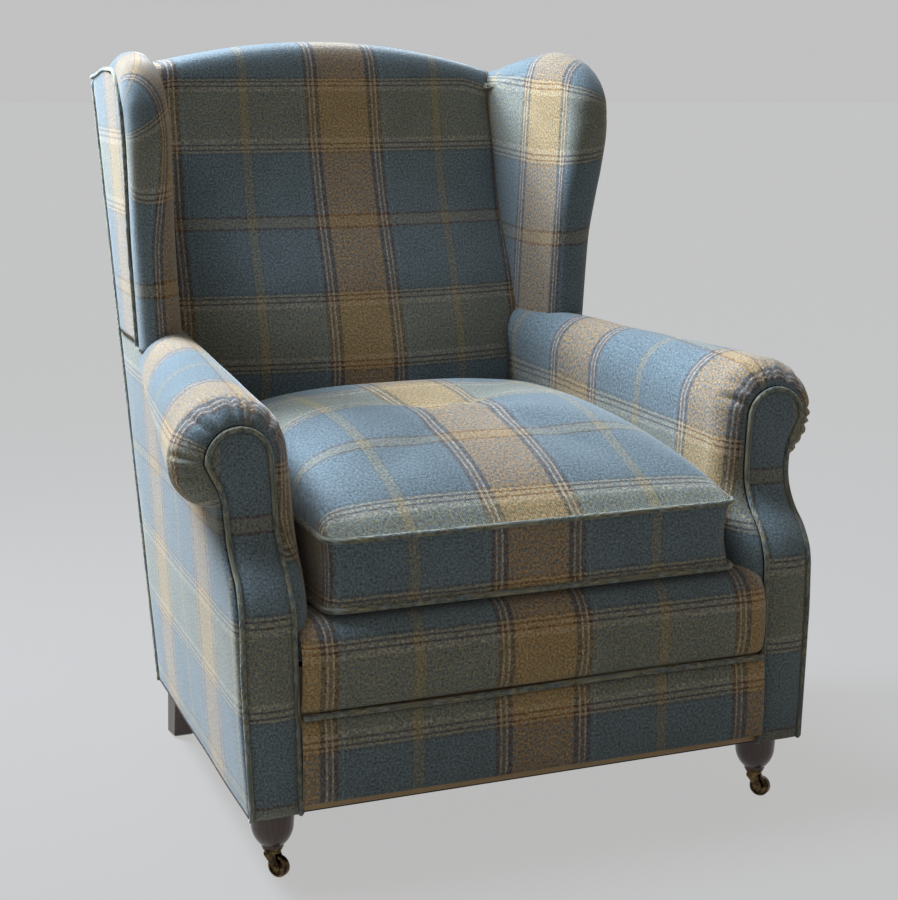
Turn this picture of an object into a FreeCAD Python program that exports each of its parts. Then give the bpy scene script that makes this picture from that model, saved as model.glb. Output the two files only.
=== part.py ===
import FreeCAD, Part
import math
import os
import re
import Sketcher

# Upholstered wing armchair with scroll arms, a loose seat cushion, turned front
# legs on trailing castors and raked rear legs.
# Millimetres. Z is up, the front of the chair faces -Y, the floor is Z = 0 and
# the origin is on the floor under the middle of the chair's box.
# Distances named y... in the sheet are measured back from the front of the base.

doc = FreeCAD.newDocument("fireside_chair")
sheet = doc.addObject("Spreadsheet::Sheet", "Sizes")

SIZES = [
    # Overall body: base, sides and back
    ("front_y", -406.25, "front of the base, from the middle of the chair"),
    ("base_height", 89.0, "floor to the underside of the upholstery"),
    ("front_half", 404.0, "half width over the outside at the bottom of the front"),
    ("base_depth", 645.0, "front of the base to the outside back, at the bottom"),
    ("side_taper", 8.14, "degrees that each side draws in towards the rear"),
    ("side_lean", 3.3, "degrees that each side leans outwards"),
    ("back_rake", 11.0, "degrees that the back leans backwards"),
    ("back_height", 1038.0, "floor to the top of the back at its middle"),
    ("arch_drop", 45.0, "fall of the back's arch from the middle to the wings"),
    ("panel_thick", 5.0, "covered outside panel"),
    ("fit_gap", 0.3, "clearance between pieces that lie against each other"),
    ("turn_gap", 0.08, "clearance round the turning pieces of the castors"),
    # Timber frame
    ("rail_thick", 25.0, "seat rails"),
    ("rail_height", 185.0, "seat rails"),
    ("frame_lift", 2.0, "underside of the frame above the underside of the base"),
    ("rail_set", 10.0, "front of the front rail behind the front of the base"),
    ("stump_width", 44.0, "arm stump across the chair"),
    ("stump_deep", 45.0, "arm stump from front to rear"),
    ("stump_inner", 346.0, "inner side of the arm stump from the middle"),
    ("post_width", 35.0, "back post across the chair"),
    ("post_deep", 45.0, "back post from front to rear"),
    ("post_drop", 63.0, "top of the back post below the top of the back"),
    ("top_rail_thick", 25.0, "arched top rail"),
    ("top_rail_drop", 133.0, "lower edge of the top rail below the top of the back"),
    ("top_rail_cover", 22.0, "padding over the top rail"),
    ("back_rail_low", 300.0, "floor to the lower back rail"),
    ("back_rail_high", 340.0, "floor to the top of the lower back rail"),
    ("arm_rail_low", 556.0, "floor to the underside of the arm rail"),
    ("arm_rail_thick", 28.0, "arm rail"),
    ("arm_rail_width", 52.0, "arm rail at its front"),
    ("arm_rail_tail", 38.0, "arm rail at the back post"),
    ("tack_rail_low", 296.0, "floor to the tacking rail of the inside arm"),
    ("tack_rail_high", 331.0, "floor to the top of the tacking rail"),
    ("tack_rail_thick", 18.0, "tacking rail"),
    ("wing_board", 18.0, "wing board"),
    ("block_leg", 58.0, "corner block along each rail"),
    ("block_low", 150.0, "floor to the underside of the corner blocks"),
    ("block_height", 50.0, "corner block"),
    # Webbing
    ("web_width", 50.0, "elastic webbing"),
    ("web_thick", 2.0, "elastic webbing"),
    ("web_pitch", 100.0, "spacing of the seat webbing across the chair"),
    ("cross_pitch", 160.0, "spacing of the cross webbing"),
    ("back_web_pitch", 110.0, "spacing of the back webbing"),
    # Arm front: the facing, its curve and its scroll
    ("facing_thick", 8.0, "padded facing"),
    ("curve_low", 330.0, "floor to the start of the arm front's curve"),
    ("curve_high", 465.0, "floor to the end of the arm front's curve"),
    ("curve_back", 57.0, "how far the curve carries the arm front back"),
    ("facing_inner", 331.0, "inner edge of the facing at the bottom"),
    ("facing_waist", 338.0, "inner edge of the facing at the cushion"),
    ("facing_neck", 410.0, "outer edge of the facing under the scroll"),
    ("facing_hip", 412.0, "outer edge of the facing at the lip"),
    ("scroll_x", 388.0, "middle of the scroll from the middle of the chair"),
    ("scroll_z", 527.0, "floor to the middle of the scroll"),
    ("scroll_radius", 45.0, "radius of the facing's scroll"),
    ("piping", 8.0, "thickness of the piping cord"),
    # Arm padding
    ("roll_radius", 77.0, "arm roll behind the scroll, across"),
    ("roll_rise", 80.0, "arm roll behind the scroll, upwards"),
    ("roll_tail", 45.0, "arm roll under the wing, across"),
    ("roll_tail_rise", 50.0, "arm roll under the wing, upwards"),
    ("arm_top_tail", 631.0, "floor to the top of the arm at the wing"),
    ("y_roll", 108.0, "where the rounded arm front reaches its full size"),
    ("y_tail", 600.0, "where the arm roll reaches its smallest size"),
    ("arm_inner", 300.0, "inner face of the arm at the front"),
    ("arm_taper", 4.45, "degrees that the inner arm draws in towards the rear"),
    ("arm_wall", 40.0, "padding of the inner arm"),
    ("arm_pad_low", 282.0, "floor to the lower end of the inner arm padding"),
    # Wings
    ("wing_thick", 62.0, "wing from its outside panel to its inside"),
    ("y_wing_neck", 527.0, "front of the wing above the arm"),
    ("y_wing_ear", 497.0, "front of the wing at its widest"),
    ("wing_foot", 612.0, "floor to the underside of the wing padding"),
    ("neck_rise", 123.0, "narrowest place of the wing above its underside"),
    ("ear_drop", 117.0, "widest place of the wing below its top"),
    ("wing_drop", 16.0, "top of the wing below the top of the back"),
    ("tail_drop", 50.0, "wing below the top of the back where they meet"),
    ("wing_round", 28.0, "rounding of the wing's front edges"),
    ("seam_back", 58.0, "outside wing panel's seam behind the wing's front"),
    # Inside back
    ("y_seat_back", 560.0, "front of the inside back at the cushion"),
    ("back_straight", 190.0, "upright foot of the inside back"),
    ("back_mid_thick", 118.6, "back from front to rear half way up its sloping part"),
    ("back_top_thick", 94.5, "back from front to rear at its top"),
    ("back_crown", 42.0, "crown of the inside back from its sides to its middle"),
    ("back_pad_low", 345.0, "floor to the lower edge of the inside back"),
    # Seat
    ("border_low", 103.0, "floor to the lower edge of the front border"),
    ("border_high", 211.0, "floor to the upper edge of the front border"),
    ("border_proud", 7.0, "front border before the front of the base"),
    ("lip_low", 219.0, "floor to the lower edge of the lip"),
    ("lip_proud", 14.0, "fullest point of the lip before the front of the base"),
    ("lip_deep", 80.0, "rear of the lip behind the front of the base"),
    ("deck_top", 336.0, "floor to the top of the seat deck"),
    ("cushion_half", 294.0, "half width of the cushion at its front"),
    ("y_cushion", 8.0, "front of the cushion"),
    ("cushion_deep", 540.0, "cushion from front to rear"),
    ("cushion_edge", 92.0, "height of the cushion's border at the front"),
    ("cushion_rise", 24.0, "extra height of the cushion's border at the rear"),
    ("cushion_crown", 206.0, "height of the cushion at its crest"),
    ("cushion_draw", 5.0, "how far the cushion's borders draw in"),
    # Legs and castors
    ("leg_x", 358.0, "front leg from the middle of the chair"),
    ("leg_y", 45.0, "front leg behind the front of the base"),
    ("leg_top_radius", 27.0, "turned front leg"),
    ("leg_foot_radius", 12.5, "turned front leg at the castor"),
    ("leg_bore", 4.3, "radius of the bore through the turned leg"),
    ("rear_leg_x", 283.0, "rear leg from the middle of the chair"),
    ("rear_leg_top", 36.0, "rear leg at its top"),
    ("rear_leg_foot", 30.0, "rear leg at the floor"),
    ("rear_leg_rake", 36.0, "how far the rear leg's foot lies behind its top"),
    ("rear_leg_inward", 6.0, "how far the rear leg's foot lies inside its top"),
    ("bolt_radius", 4.0, "hanger bolts of the legs"),
    ("bolt_up", 34.0, "hanger bolt above the leg"),
    ("bolt_down", 16.0, "hanger bolt inside the leg"),
    ("castor_height", 38.5, "floor to the top of the castor's plate"),
    ("wheel_radius", 14.0, "castor wheel"),
    ("wheel_width", 10.0, "castor wheel"),
    ("castor_trail", 9.0, "castor wheel beside its swivel axis"),
    ("castor_turn", -55.0, "degrees that the castors stand turned at rest"),
    ("plate_thick", 3.0, "castor plate"),
    ("stem_radius", 4.0, "castor stem in the leg"),
    ("stem_length", 22.0, "castor stem in the leg"),
    ("pivot_radius", 3.4, "swivel pin of the castor"),
    ("horn_radius", 10.5, "crown of the castor horn"),
    ("horn_thick", 4.5, "crown of the castor horn"),
    ("ear_thick", 2.2, "ears of the castor horn"),
    ("eye_radius", 5.2, "eye of the castor horn round the axle"),
    ("axle_radius", 2.0, "castor axle"),
]

for row, (name, number, note) in enumerate(SIZES, 1):
    sheet.set("A%d" % row, name)
    sheet.set("B%d" % row, str(number))
    sheet.set("C%d" % row, note)
    sheet.setAlias("B%d" % row, name)
doc.recompute()

Vector = FreeCAD.Vector
NODES = []


def size(expression):
    """Value of an expression on the sheet's names."""
    result = sheet.evalExpression(expression)
    return float(getattr(result, "Value", result))


def bound(expression):
    """The same expression as an object of the document reads it."""
    return re.sub(r"\b([a-z][a-z_]*[a-z])\b(?!\s*\()", r"Sizes.\1", expression)


def bind(target, prop, expression):
    target.setExpression(prop, bound(expression))


def keep(piece, label):
    """Names a sub-part; its label is also the name of its file."""
    piece.Label = label
    NODES.append(piece)
    return piece


# Sloping surfaces of the chair, as expressions on a place and an inset

def back(y):
    """Place across the depth of the chair, from the front of the base."""
    return "(front_y + %s)" % y


def side(y, z, inset="0"):
    """Outside of the chair at a depth and a height."""
    return ("(front_half - tan(side_taper) * (%s) + tan(side_lean) * ((%s) - base_height) - (%s))"
            % (y, z, inset))


def rear(z, inset="0"):
    """Depth of the outside back at a height."""
    return "(base_depth + tan(back_rake) * ((%s) - base_height) - (%s))" % (z, inset)


FRAME_LOW = "(base_height + frame_lift)"
RAIL_TOP = "(base_height + frame_lift + rail_height)"
POST_TOP = "(back_height - post_drop)"
TOP_RAIL_LOW = "(back_height - top_rail_drop)"
WING_NECK = "(wing_foot + neck_rise)"
WING_TOP = "(back_height - wing_drop)"
WING_EAR = "(back_height - wing_drop - ear_drop)"
WING_TAIL = "(back_height - tail_drop)"
Y_BACK_MID = "(%s - back_mid_thick)" % rear("((back_pad_low + back_straight + back_height) / 2)")
Y_BACK_TOP = "(%s - back_top_thick)" % rear("back_height")
SKIN = "(panel_thick + fit_gap)"
POST_FRONT = "(panel_thick + fit_gap + post_deep)"
STUMP_REAR = "(facing_thick + fit_gap + stump_deep)"
REAR_LEG_Y = "(%s - post_deep / 2)" % rear(FRAME_LOW, SKIN)


# Sketches and bodies

def new_body(label):
    return keep(doc.addObject("PartDesign::Body", label), label)


def bolt_hole(body, x, y, top, deep):
    """Upright round hole for a leg's bolt, cut downwards from its upper end."""
    sketch = new_sketch(body, "XY_Plane", "bolt_hole")
    sketch.addGeometry(Part.Circle(Vector(size(x), size(y), 0), Vector(0, 0, 1),
                                   size("leg_bore")), False)
    for kind, place_of in (("DistanceX", x), ("DistanceY", y)):
        number = sketch.addConstraint(Sketcher.Constraint(kind, -1, 1, 0, 3, size(place_of)))
        bind(sketch, "Constraints[%d]" % number, place_of)
    number = sketch.addConstraint(Sketcher.Constraint("Radius", 0, size("leg_bore")))
    bind(sketch, "Constraints[%d]" % number, "leg_bore")
    bind(sketch, "AttachmentOffset.Base.z", top)
    pocket = body.newObject("PartDesign::Pocket", "bolt_bore")
    pocket.Profile = sketch
    bind(pocket, "Length", deep)
    return pocket


def new_sketch(body, role, name):
    sketch = body.newObject("Sketcher::SketchObject", name)
    plane = [item for item in body.Origin.OriginFeatures if item.Role == role][0]
    sketch.AttachmentSupport = (plane, [""])
    sketch.MapMode = "FlatFace"
    return sketch


def arc_curve(start, end, radius):
    """Arc from start to end; a positive radius turns to the left."""
    chord = end - start
    rise = math.sqrt(max(0.0, radius * radius - chord.Length ** 2 / 4))
    left = Vector(-chord.y, chord.x, 0).normalize()
    centre = (start + end) * 0.5 + left * math.copysign(rise, radius)
    first = math.atan2(start.y - centre.y, start.x - centre.x)
    last = math.atan2(end.y - centre.y, end.x - centre.x)
    circle = Part.Circle(centre, Vector(0, 0, 1), abs(radius))
    if radius > 0:
        return Part.ArcOfCircle(circle, first, last)
    return Part.ArcOfCircle(circle, last, first)


def draw(sketch, corners):
    """Closed outline of expressions; (x, y, radius) starts an arc to the next corner."""
    points = [Vector(size(corner[0]), size(corner[1]), 0) for corner in corners]
    ends = []
    for index, corner in enumerate(corners):
        start = points[index]
        end = points[(index + 1) % len(points)]
        if len(corner) == 3:
            radius = size(corner[2])
            geometry = sketch.addGeometry(arc_curve(start, end, radius), False)
            ends.append((geometry, 1, 2) if radius > 0 else (geometry, 2, 1))
        else:
            ends.append((sketch.addGeometry(Part.LineSegment(start, end), False), 1, 2))
    for index in range(len(corners)):
        geometry, first, last = ends[index]
        following, onward, beyond = ends[(index + 1) % len(ends)]
        sketch.addConstraint(Sketcher.Constraint("Coincident", geometry, last, following, onward))
    for index, corner in enumerate(corners):
        geometry, first, last = ends[index]
        for axis in (0, 1):
            kind = ("DistanceX", "DistanceY")[axis]
            rule = Sketcher.Constraint(kind, -1, 1, geometry, first, points[index][axis])
            number = sketch.addConstraint(rule)
            bind(sketch, "Constraints[%d]" % number, corner[axis])
        if len(corner) == 3:
            rule = Sketcher.Constraint("Radius", geometry, abs(size(corner[2])))
            number = sketch.addConstraint(rule)
            bind(sketch, "Constraints[%d]" % number, "abs(%s)" % corner[2])


def pad(body, role, corners, length, offset="0", name="pad"):
    """Pad of an outline, along the plane's normal, starting at an offset from the plane."""
    sketch = new_sketch(body, role, name + "_outline")
    draw(sketch, corners)
    bind(sketch, "AttachmentOffset.Base.z", offset)
    feature = body.newObject("PartDesign::Pad", name)
    feature.Profile = sketch
    bind(feature, "Length", length)
    return feature


def revolve(body, corners, name="turned"):
    """Turned form from a half profile of radius and height."""
    sketch = new_sketch(body, "XZ_Plane", name + "_profile")
    draw(sketch, corners)
    feature = body.newObject("PartDesign::Revolution", name)
    feature.Profile = sketch
    feature.ReferenceAxis = (sketch, ["V_Axis"])
    feature.Angle = 360
    return feature


def block(label, low, high, corners_low, corners_high):
    """Timber between two level outlines, so that its ends and faces can slope."""
    body = new_body(label)
    sections = []
    for name, level, corners in (("low", low, corners_low), ("high", high, corners_high)):
        sketch = new_sketch(body, "XY_Plane", name)
        draw(sketch, corners)
        bind(sketch, "AttachmentOffset.Base.z", level)
        sections.append(sketch)
    loft = body.newObject("PartDesign::AdditiveLoft", "timber")
    loft.Profile = sections[0]
    loft.Sections = sections[1:]
    loft.Ruled = True
    return body


def place(piece, x="0", y="0", z="0", angle=None, axis=Vector(0, 0, 1)):
    """Placement bound to the sheet; the angle turns the piece about one axis."""
    if angle is not None:
        piece.Placement = FreeCAD.Placement(Vector(), FreeCAD.Rotation(axis, size(angle)))
        bind(piece, "Placement.Rotation.Angle", angle)
    bind(piece, "Placement.Base.x", x)
    bind(piece, "Placement.Base.y", y)
    bind(piece, "Placement.Base.z", z)
    return piece


def mirrored(piece, label):
    """The same piece on the other side of the chair."""
    copy = keep(doc.addObject("Part::Mirroring", label), label)
    copy.Source = piece
    copy.Normal = Vector(1, 0, 0)
    return copy


def pair(piece, name):
    """A right and a left piece from the right one."""
    piece.Label = name + "_right"
    return mirrored(piece, name + "_left")


def group(label, pieces):
    """Identical pieces that share one node as separate solids."""
    for piece in pieces:
        if piece in NODES:
            NODES.remove(piece)
    bundle = keep(doc.addObject("Part::Compound", label), label)
    bundle.Links = pieces
    return bundle


def made(label, shape):
    """Sub-part whose form is built by code from the sheet's sizes."""
    piece = keep(doc.addObject("Part::Feature", label), label)
    piece.Shape = shape
    return piece


def joined(pieces, name):
    """Helper solid fused from several shapes."""
    shape = pieces[0]
    for other in pieces[1:]:
        shape = shape.fuse(other)
    return shape.removeSplitter()


# Seat frame

def seat_frame():
    y_front = back("rail_set")
    y_behind = back("rail_set + rail_thick")
    front = new_body("front_seat_rail")
    pad(front, "XY_Plane",
        [("-stump_inner", y_front), ("stump_inner", y_front),
         ("stump_inner", y_behind), ("-stump_inner", y_behind)],
        "rail_height", FRAME_LOW, "rail")

    y_stump = STUMP_REAR
    low, high = FRAME_LOW, RAIL_TOP
    corners = []
    for level in (low, high):
        y_end = rear(level, POST_FRONT)
        inner = SKIN + " + rail_thick"
        corners.append([
            (side(y_stump, low, inner), back(y_stump)),
            (side(y_stump, low, SKIN), back(y_stump)),
            (side(y_end, low, SKIN), back(y_end)),
            (side(y_end, low, inner), back(y_end)),
        ])
    rail = block("side_seat_rail", low, high, corners[0], corners[1])
    pair(rail, "side_seat_rail")

    corners = []
    for level in (low, high):
        y_near = rear(level, POST_FRONT)
        y_far = "(%s + rail_thick)" % y_near
        half = side(rear(level, SKIN), level, SKIN + " + post_width")
        corners.append([
            ("-" + half, back(y_near)), (half, back(y_near)),
            (half, back(y_far)), ("-" + half, back(y_far)),
        ])
    block("back_seat_rail", low, high, corners[0], corners[1])


def corner_blocks():
    high = "(block_low + block_height)"
    pieces = []
    y_front = "(rail_set + rail_thick)"
    outer = "stump_inner"
    corners = [(outer, back(y_front)), (outer, back(y_front + " + block_leg")),
               (outer + " - block_leg", back(y_front))]
    front = block("front_block_right", "block_low", high, corners, corners)
    pieces += [front, mirrored(front, "front_block_left")]
    sections = []
    for level in ("block_low", high):
        y_rail = rear(level, POST_FRONT)
        outer = side(rear(level, SKIN), level, SKIN + " + post_width")
        sections.append([(outer, back(y_rail)), (outer + " - block_leg", back(y_rail)),
                         (outer, back(y_rail + " - block_leg"))])
    near = block("rear_block_right", "block_low", high, sections[0], sections[1])
    pieces += [near, mirrored(near, "rear_block_left")]
    group("corner_blocks", pieces)


# Arm front: two equal arcs carry the front back from the base to the scroll

CURVE_RADIUS = "(((curve_high - curve_low)^2 + curve_back^2) / (4 * curve_back))"
CURVE_MID = "((curve_low + curve_high) / 2)"


def arm_stump():
    stump = new_body("arm_stump")
    y_face = "(front_y + facing_thick + fit_gap)"
    y_rear = "(%s + stump_deep)" % y_face
    top = "(scroll_z)"
    corners = [
        (y_rear, FRAME_LOW),
        (y_rear, "curve_low", "-" + CURVE_RADIUS),
        (y_rear + " + curve_back / 2", CURVE_MID, CURVE_RADIUS),
        (y_rear + " + curve_back", "curve_high"),
        (y_rear + " + curve_back", top),
        (y_face + " + curve_back", top),
        (y_face + " + curve_back", "curve_high", "-" + CURVE_RADIUS),
        (y_face + " + curve_back / 2", CURVE_MID, CURVE_RADIUS),
        (y_face, "curve_low"),
        (y_face, FRAME_LOW),
    ]
    pad(stump, "YZ_Plane", corners, "stump_width", "stump_inner", "curved_post")
    head = new_sketch(stump, "XZ_Plane", "scroll_outline")
    circle = Part.Circle(Vector(size("scroll_x"), size("scroll_z"), 0), Vector(0, 0, 1),
                         size("scroll_radius - piping"))
    head.addGeometry(circle, False)
    for axis, kind in enumerate(("DistanceX", "DistanceY")):
        number = head.addConstraint(Sketcher.Constraint(
            kind, -1, 1, 0, 3, size(("scroll_x", "scroll_z")[axis])))
        bind(head, "Constraints[%d]" % number, ("scroll_x", "scroll_z")[axis])
    number = head.addConstraint(Sketcher.Constraint("Radius", 0, size("scroll_radius - piping")))
    bind(head, "Constraints[%d]" % number, "scroll_radius - piping")
    bind(head, "AttachmentOffset.Base.z", "-(%s + curve_back + stump_deep)" % y_face)
    scroll = stump.newObject("PartDesign::Pad", "scroll_head")
    scroll.Profile = head
    bind(scroll, "Length", "stump_deep")
    bolt_hole(stump, "leg_x", back("leg_y"), FRAME_LOW + " + bolt_up", "bolt_up")
    pair(stump, "arm_stump")
    return stump


def arm_rails():
    low, high = "arm_rail_low", "(arm_rail_low + arm_rail_thick)"
    y_head = "(%s + curve_back)" % STUMP_REAR
    corners = []
    for level in (low, high):
        y_post = rear(level, POST_FRONT)
        corners.append([
            (side(y_head, level, SKIN + " + arm_rail_width"), back(y_head)),
            (side(y_head, level, SKIN), back(y_head)),
            (side(y_post, level, SKIN), back(y_post)),
            (side(y_post, level, SKIN + " + arm_rail_tail"), back(y_post)),
        ])
    rail = block("arm_rail", low, high, corners[0], corners[1])
    pair(rail, "arm_rail")

    corners = []
    for level in ("tack_rail_low", "tack_rail_high"):
        y_post = rear(level, POST_FRONT)
        near = inner_arm(STUMP_REAR) + " + arm_wall + fit_gap"
        far = inner_arm(y_post) + " + arm_wall + fit_gap"
        corners.append([
            (near, back(STUMP_REAR)),
            (near + " + tack_rail_thick", back(STUMP_REAR)),
            (far + " + tack_rail_thick", back(y_post)),
            (far, back(y_post)),
        ])
    tack = block("side_tack_rail", "tack_rail_low", "tack_rail_high", corners[0], corners[1])
    pair(tack, "side_tack_rail")
    return rail, tack


def inner_arm(y):
    """Inner face of the arm at a depth."""
    return "(arm_inner - tan(arm_taper) * ((%s) - y_roll))" % y


# Back frame

def back_frame():
    corners = []
    for level in (FRAME_LOW, POST_TOP):
        y_near = rear(level, POST_FRONT)
        y_far = rear(level, SKIN)
        outer = side(y_far, level, SKIN)
        corners.append([
            (outer + " - post_width", back(y_near)), (outer, back(y_near)),
            (outer, back(y_far)), (outer + " - post_width", back(y_far)),
        ])
    post = block("back_post", FRAME_LOW, POST_TOP, corners[0], corners[1])
    bolt_hole(post, "rear_leg_x", back(REAR_LEG_Y), FRAME_LOW + " + bolt_up", "bolt_up")
    pair(post, "back_post")

    corners = []
    for level in ("back_rail_low", "back_rail_high"):
        y_near = rear(level, POST_FRONT)
        half = side(rear(level, SKIN), level, SKIN + " + post_width")
        corners.append([
            ("-" + half, back(y_near)), (half, back(y_near)),
            (half, back(y_near + " + rail_thick")), ("-" + half, back(y_near + " + rail_thick")),
        ])
    block("lower_back_rail", "back_rail_low", "back_rail_high", corners[0], corners[1])

    top_rail = new_body("top_back_rail")
    pad(top_rail, "XZ_Plane",
        arched(SKIN + " + post_width", TOP_RAIL_LOW, POST_TOP, "back_height - top_rail_cover"),
        "top_rail_thick", SKIN, "arched_rail")
    on_back(top_rail)
    return post, top_rail


def up_back(z):
    """Distance up the slope of the back to a height."""
    return "((%s - base_height) / cos(back_rake))" % z


def arched(inset, low, end, middle):
    """Outline on the slope of the back whose upper edge is an arch."""
    half_low = side(rear(low), low, inset)
    half_end = side(rear(end), end, inset)
    rise = "(%s - (%s))" % (up_back("(%s)" % middle), up_back("(%s)" % end))
    radius = "((%s^2 + %s^2) / (2 * %s))" % (half_end, rise, rise)
    return [
        ("-" + half_low, up_back("(%s)" % low)), (half_low, up_back("(%s)" % low)),
        (half_end, up_back("(%s)" % end), radius), ("-" + half_end, up_back("(%s)" % end)),
    ]


def on_back(piece):
    """Lays a piece in the sloping plane of the outside back."""
    place(piece, "0", back("base_depth"), "base_height", "-back_rake", Vector(1, 0, 0))


# The side of the chair is one plane; these are places on it

TAPER = "tan(side_taper)"
LEAN = "tan(side_lean)"
ALONG = "sqrt(1 + tan(side_taper)^2)"
UPRIGHT = "sqrt(1 + tan(side_taper)^2 + tan(side_lean)^2)"


def on_side(y, z):
    """Place in the plane of the side for a depth and a height."""
    along = ("(%s * (%s) - %s * %s * ((%s) - base_height) / %s)"
             % (ALONG, y, TAPER, LEAN, z, ALONG))
    up = "(((%s) - base_height) * %s / %s)" % (z, UPRIGHT, ALONG)
    return along, up


def side_body(label, corners, thick, inset):
    """Board in the plane of the side; its outer face lies at the inset."""
    body = new_body(label)
    outline = [on_side(corner[0], corner[1]) + tuple(corner[2:]) for corner in corners]
    board = pad(body, "XY_Plane", outline, thick, "-(%s)" % inset, "board")
    board.Reversed = True
    taper = math.tan(math.radians(size("side_taper")))
    lean = math.tan(math.radians(size("side_lean")))
    along = Vector(-taper, 1, 0).normalize()
    outward = Vector(1, taper, -lean).normalize()
    body.Placement = FreeCAD.Placement(
        Vector(), FreeCAD.Rotation(along, outward.cross(along), outward, "ZXY"))
    bind(body, "Placement.Base.x", "front_half")
    bind(body, "Placement.Base.y", "front_y")
    bind(body, "Placement.Base.z", "base_height")
    return body


def wing_boards():
    foot = "(arm_rail_low + arm_rail_thick)"
    tail = "(%s - wing_round)" % WING_TAIL
    corners = [
        ("y_wing_neck + wing_thick / 2", foot),
        ("y_wing_neck + wing_thick / 2", WING_NECK),
        ("y_wing_ear + wing_thick / 2", WING_EAR, "-ear_drop"),
        ("y_wing_ear + 2 * wing_thick", WING_TOP + " - wing_round"),
        (rear(tail, POST_FRONT), tail),
        (rear(foot, POST_FRONT), foot),
    ]
    board = side_body("wing_board", corners, "wing_board", SKIN)
    pair(board, "wing_board")
    return board


# Outside panels

def outside_panels():
    near = "(facing_thick + fit_gap)"
    seam = "(y_wing_neck + seam_back)"
    split = "(wing_foot - fit_gap)"
    corners = [
        (near, "base_height"),
        (near, "curve_low", "-" + CURVE_RADIUS),
        (near + " + curve_back / 2", CURVE_MID, CURVE_RADIUS),
        (near + " + curve_back", "curve_high"),
        (seam, "arm_top_tail - roll_tail_rise"),
        (seam, split),
        (rear(split), split),
        ("base_depth", "base_height"),
    ]
    arm = side_body("outside_arm_panel", corners, "panel_thick", "0")
    pair(arm, "outside_arm_panel")

    tail = "(%s - fit_gap)" % WING_TAIL
    corners = [
        (seam, "wing_foot"),
        (seam, WING_NECK),
        ("y_wing_ear + seam_back", WING_EAR, "-ear_drop"),
        ("y_wing_ear + seam_back + wing_thick", WING_TOP + " - wing_round"),
        (rear(tail), tail),
        (rear("wing_foot"), "wing_foot"),
    ]
    wing = side_body("outside_wing_panel", corners, "panel_thick", "0")
    pair(wing, "outside_wing_panel")

    panel = new_body("outside_back_panel")
    corners = arched(SKIN, "base_height", "back_height - arch_drop - piping",
                     "back_height - piping")
    pad(panel, "XZ_Plane", corners, "panel_thick", "0", "panel")
    on_back(panel)
    return arm, wing


# Webbing

def strap(name, x, y, z, across, along):
    piece = doc.addObject("Part::Box", name)
    bind(piece, "Length", across)
    bind(piece, "Width", along)
    bind(piece, "Height", "web_thick")
    return place(piece, x, y, z)


def webbing():
    deep = "(%s + rail_thick - rail_set)" % rear(RAIL_TOP, POST_FRONT)
    straps = []
    for number in range(-2, 3):
        straps.append(strap("seat_strap_%d" % (number + 3),
                            "%d * web_pitch - web_width / 2" % number,
                            back("rail_set"), RAIL_TOP, "web_width", deep))
    for number in range(1, 4):
        y_strap = "(%d * cross_pitch - web_width / 2)" % number
        half = side(y_strap + " + web_width", RAIL_TOP, SKIN + " + tan(side_lean) * rail_height")
        straps.append(strap("cross_strap_%d" % number, "-" + half, back(y_strap),
                            RAIL_TOP + " + web_thick", "2 * " + half, "web_width"))
    group("seat_webbing", straps)

    straps = []
    room = size(TOP_RAIL_LOW + " - back_rail_high - 2 * web_width")
    for number in range(1 + int(room / size("back_web_pitch"))):
        level = "(back_rail_high + %d * back_web_pitch + web_width)" % number
        half = side(rear(level, SKIN), level, SKIN + " + post_width / 2")
        piece = doc.addObject("Part::Box", "back_strap_%d" % (number + 1))
        bind(piece, "Length", "2 * " + half)
        bind(piece, "Width", "web_thick")
        bind(piece, "Height", "web_width")
        inset = "(%s + web_thick / cos(back_rake))" % POST_FRONT
        place(piece, "-" + half, back(rear(level, inset)), level, "-back_rake", Vector(1, 0, 0))
        straps.append(piece)
    group("back_webbing", straps)


# Legs and castors

def front_legs():
    """Cup-shaped turned leg with a bore for the hanger bolt and the castor stem."""
    leg = new_body("front_leg")
    foot = "-(base_height - castor_height)"
    revolve(leg, [
        ("leg_bore", "0"),
        ("leg_top_radius", "0", "-3 * leg_top_radius"),
        ("leg_top_radius", "%s * 0.4" % foot, "-1.35 * leg_top_radius"),
        ("leg_foot_radius + 1.5", "%s + 3" % foot),
        ("leg_foot_radius + 1.5", foot),
        ("leg_bore", foot),
    ])
    place(leg, "leg_x", back("leg_y"), "base_height")
    pair(leg, "front_leg")


def square(half, x="0", y="0"):
    """Four corners of a square about a centre."""
    return [(x + " - " + half, y + " - " + half), (x + " + " + half, y + " - " + half),
            (x + " + " + half, y + " + " + half), (x + " - " + half, y + " + " + half)]


def rear_legs():
    """Square tapered leg that rakes backwards, with a bored top and an eased foot."""
    leg = new_body("rear_leg")
    sections = []
    for name, level, corners in (
            ("foot", "-base_height", square("rear_leg_foot / 2", "(-rear_leg_inward)", "rear_leg_rake")),
            ("top", "0", square("rear_leg_top / 2"))):
        sketch = new_sketch(leg, "XY_Plane", name)
        draw(sketch, corners)
        bind(sketch, "AttachmentOffset.Base.z", level)
        sections.append(sketch)
    loft = leg.newObject("PartDesign::AdditiveLoft", "taper")
    loft.Profile = sections[0]
    loft.Sections = sections[1:]
    loft.Ruled = True
    pocket = bolt_hole(leg, "0", "0", "0", "bolt_down + fit_gap")
    doc.recompute()
    low = min(edge.BoundBox.ZMin for edge in pocket.Shape.Edges)
    rim = ["Edge%d" % number for number, edge in enumerate(pocket.Shape.Edges, 1)
           if edge.BoundBox.ZMax < low + 0.01]
    eased = leg.newObject("PartDesign::Chamfer", "eased_foot")
    eased.Base = (pocket, rim)
    eased.Size = 3
    place(leg, "rear_leg_x", back(REAR_LEG_Y), "base_height")
    pair(leg, "rear_leg")


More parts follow.
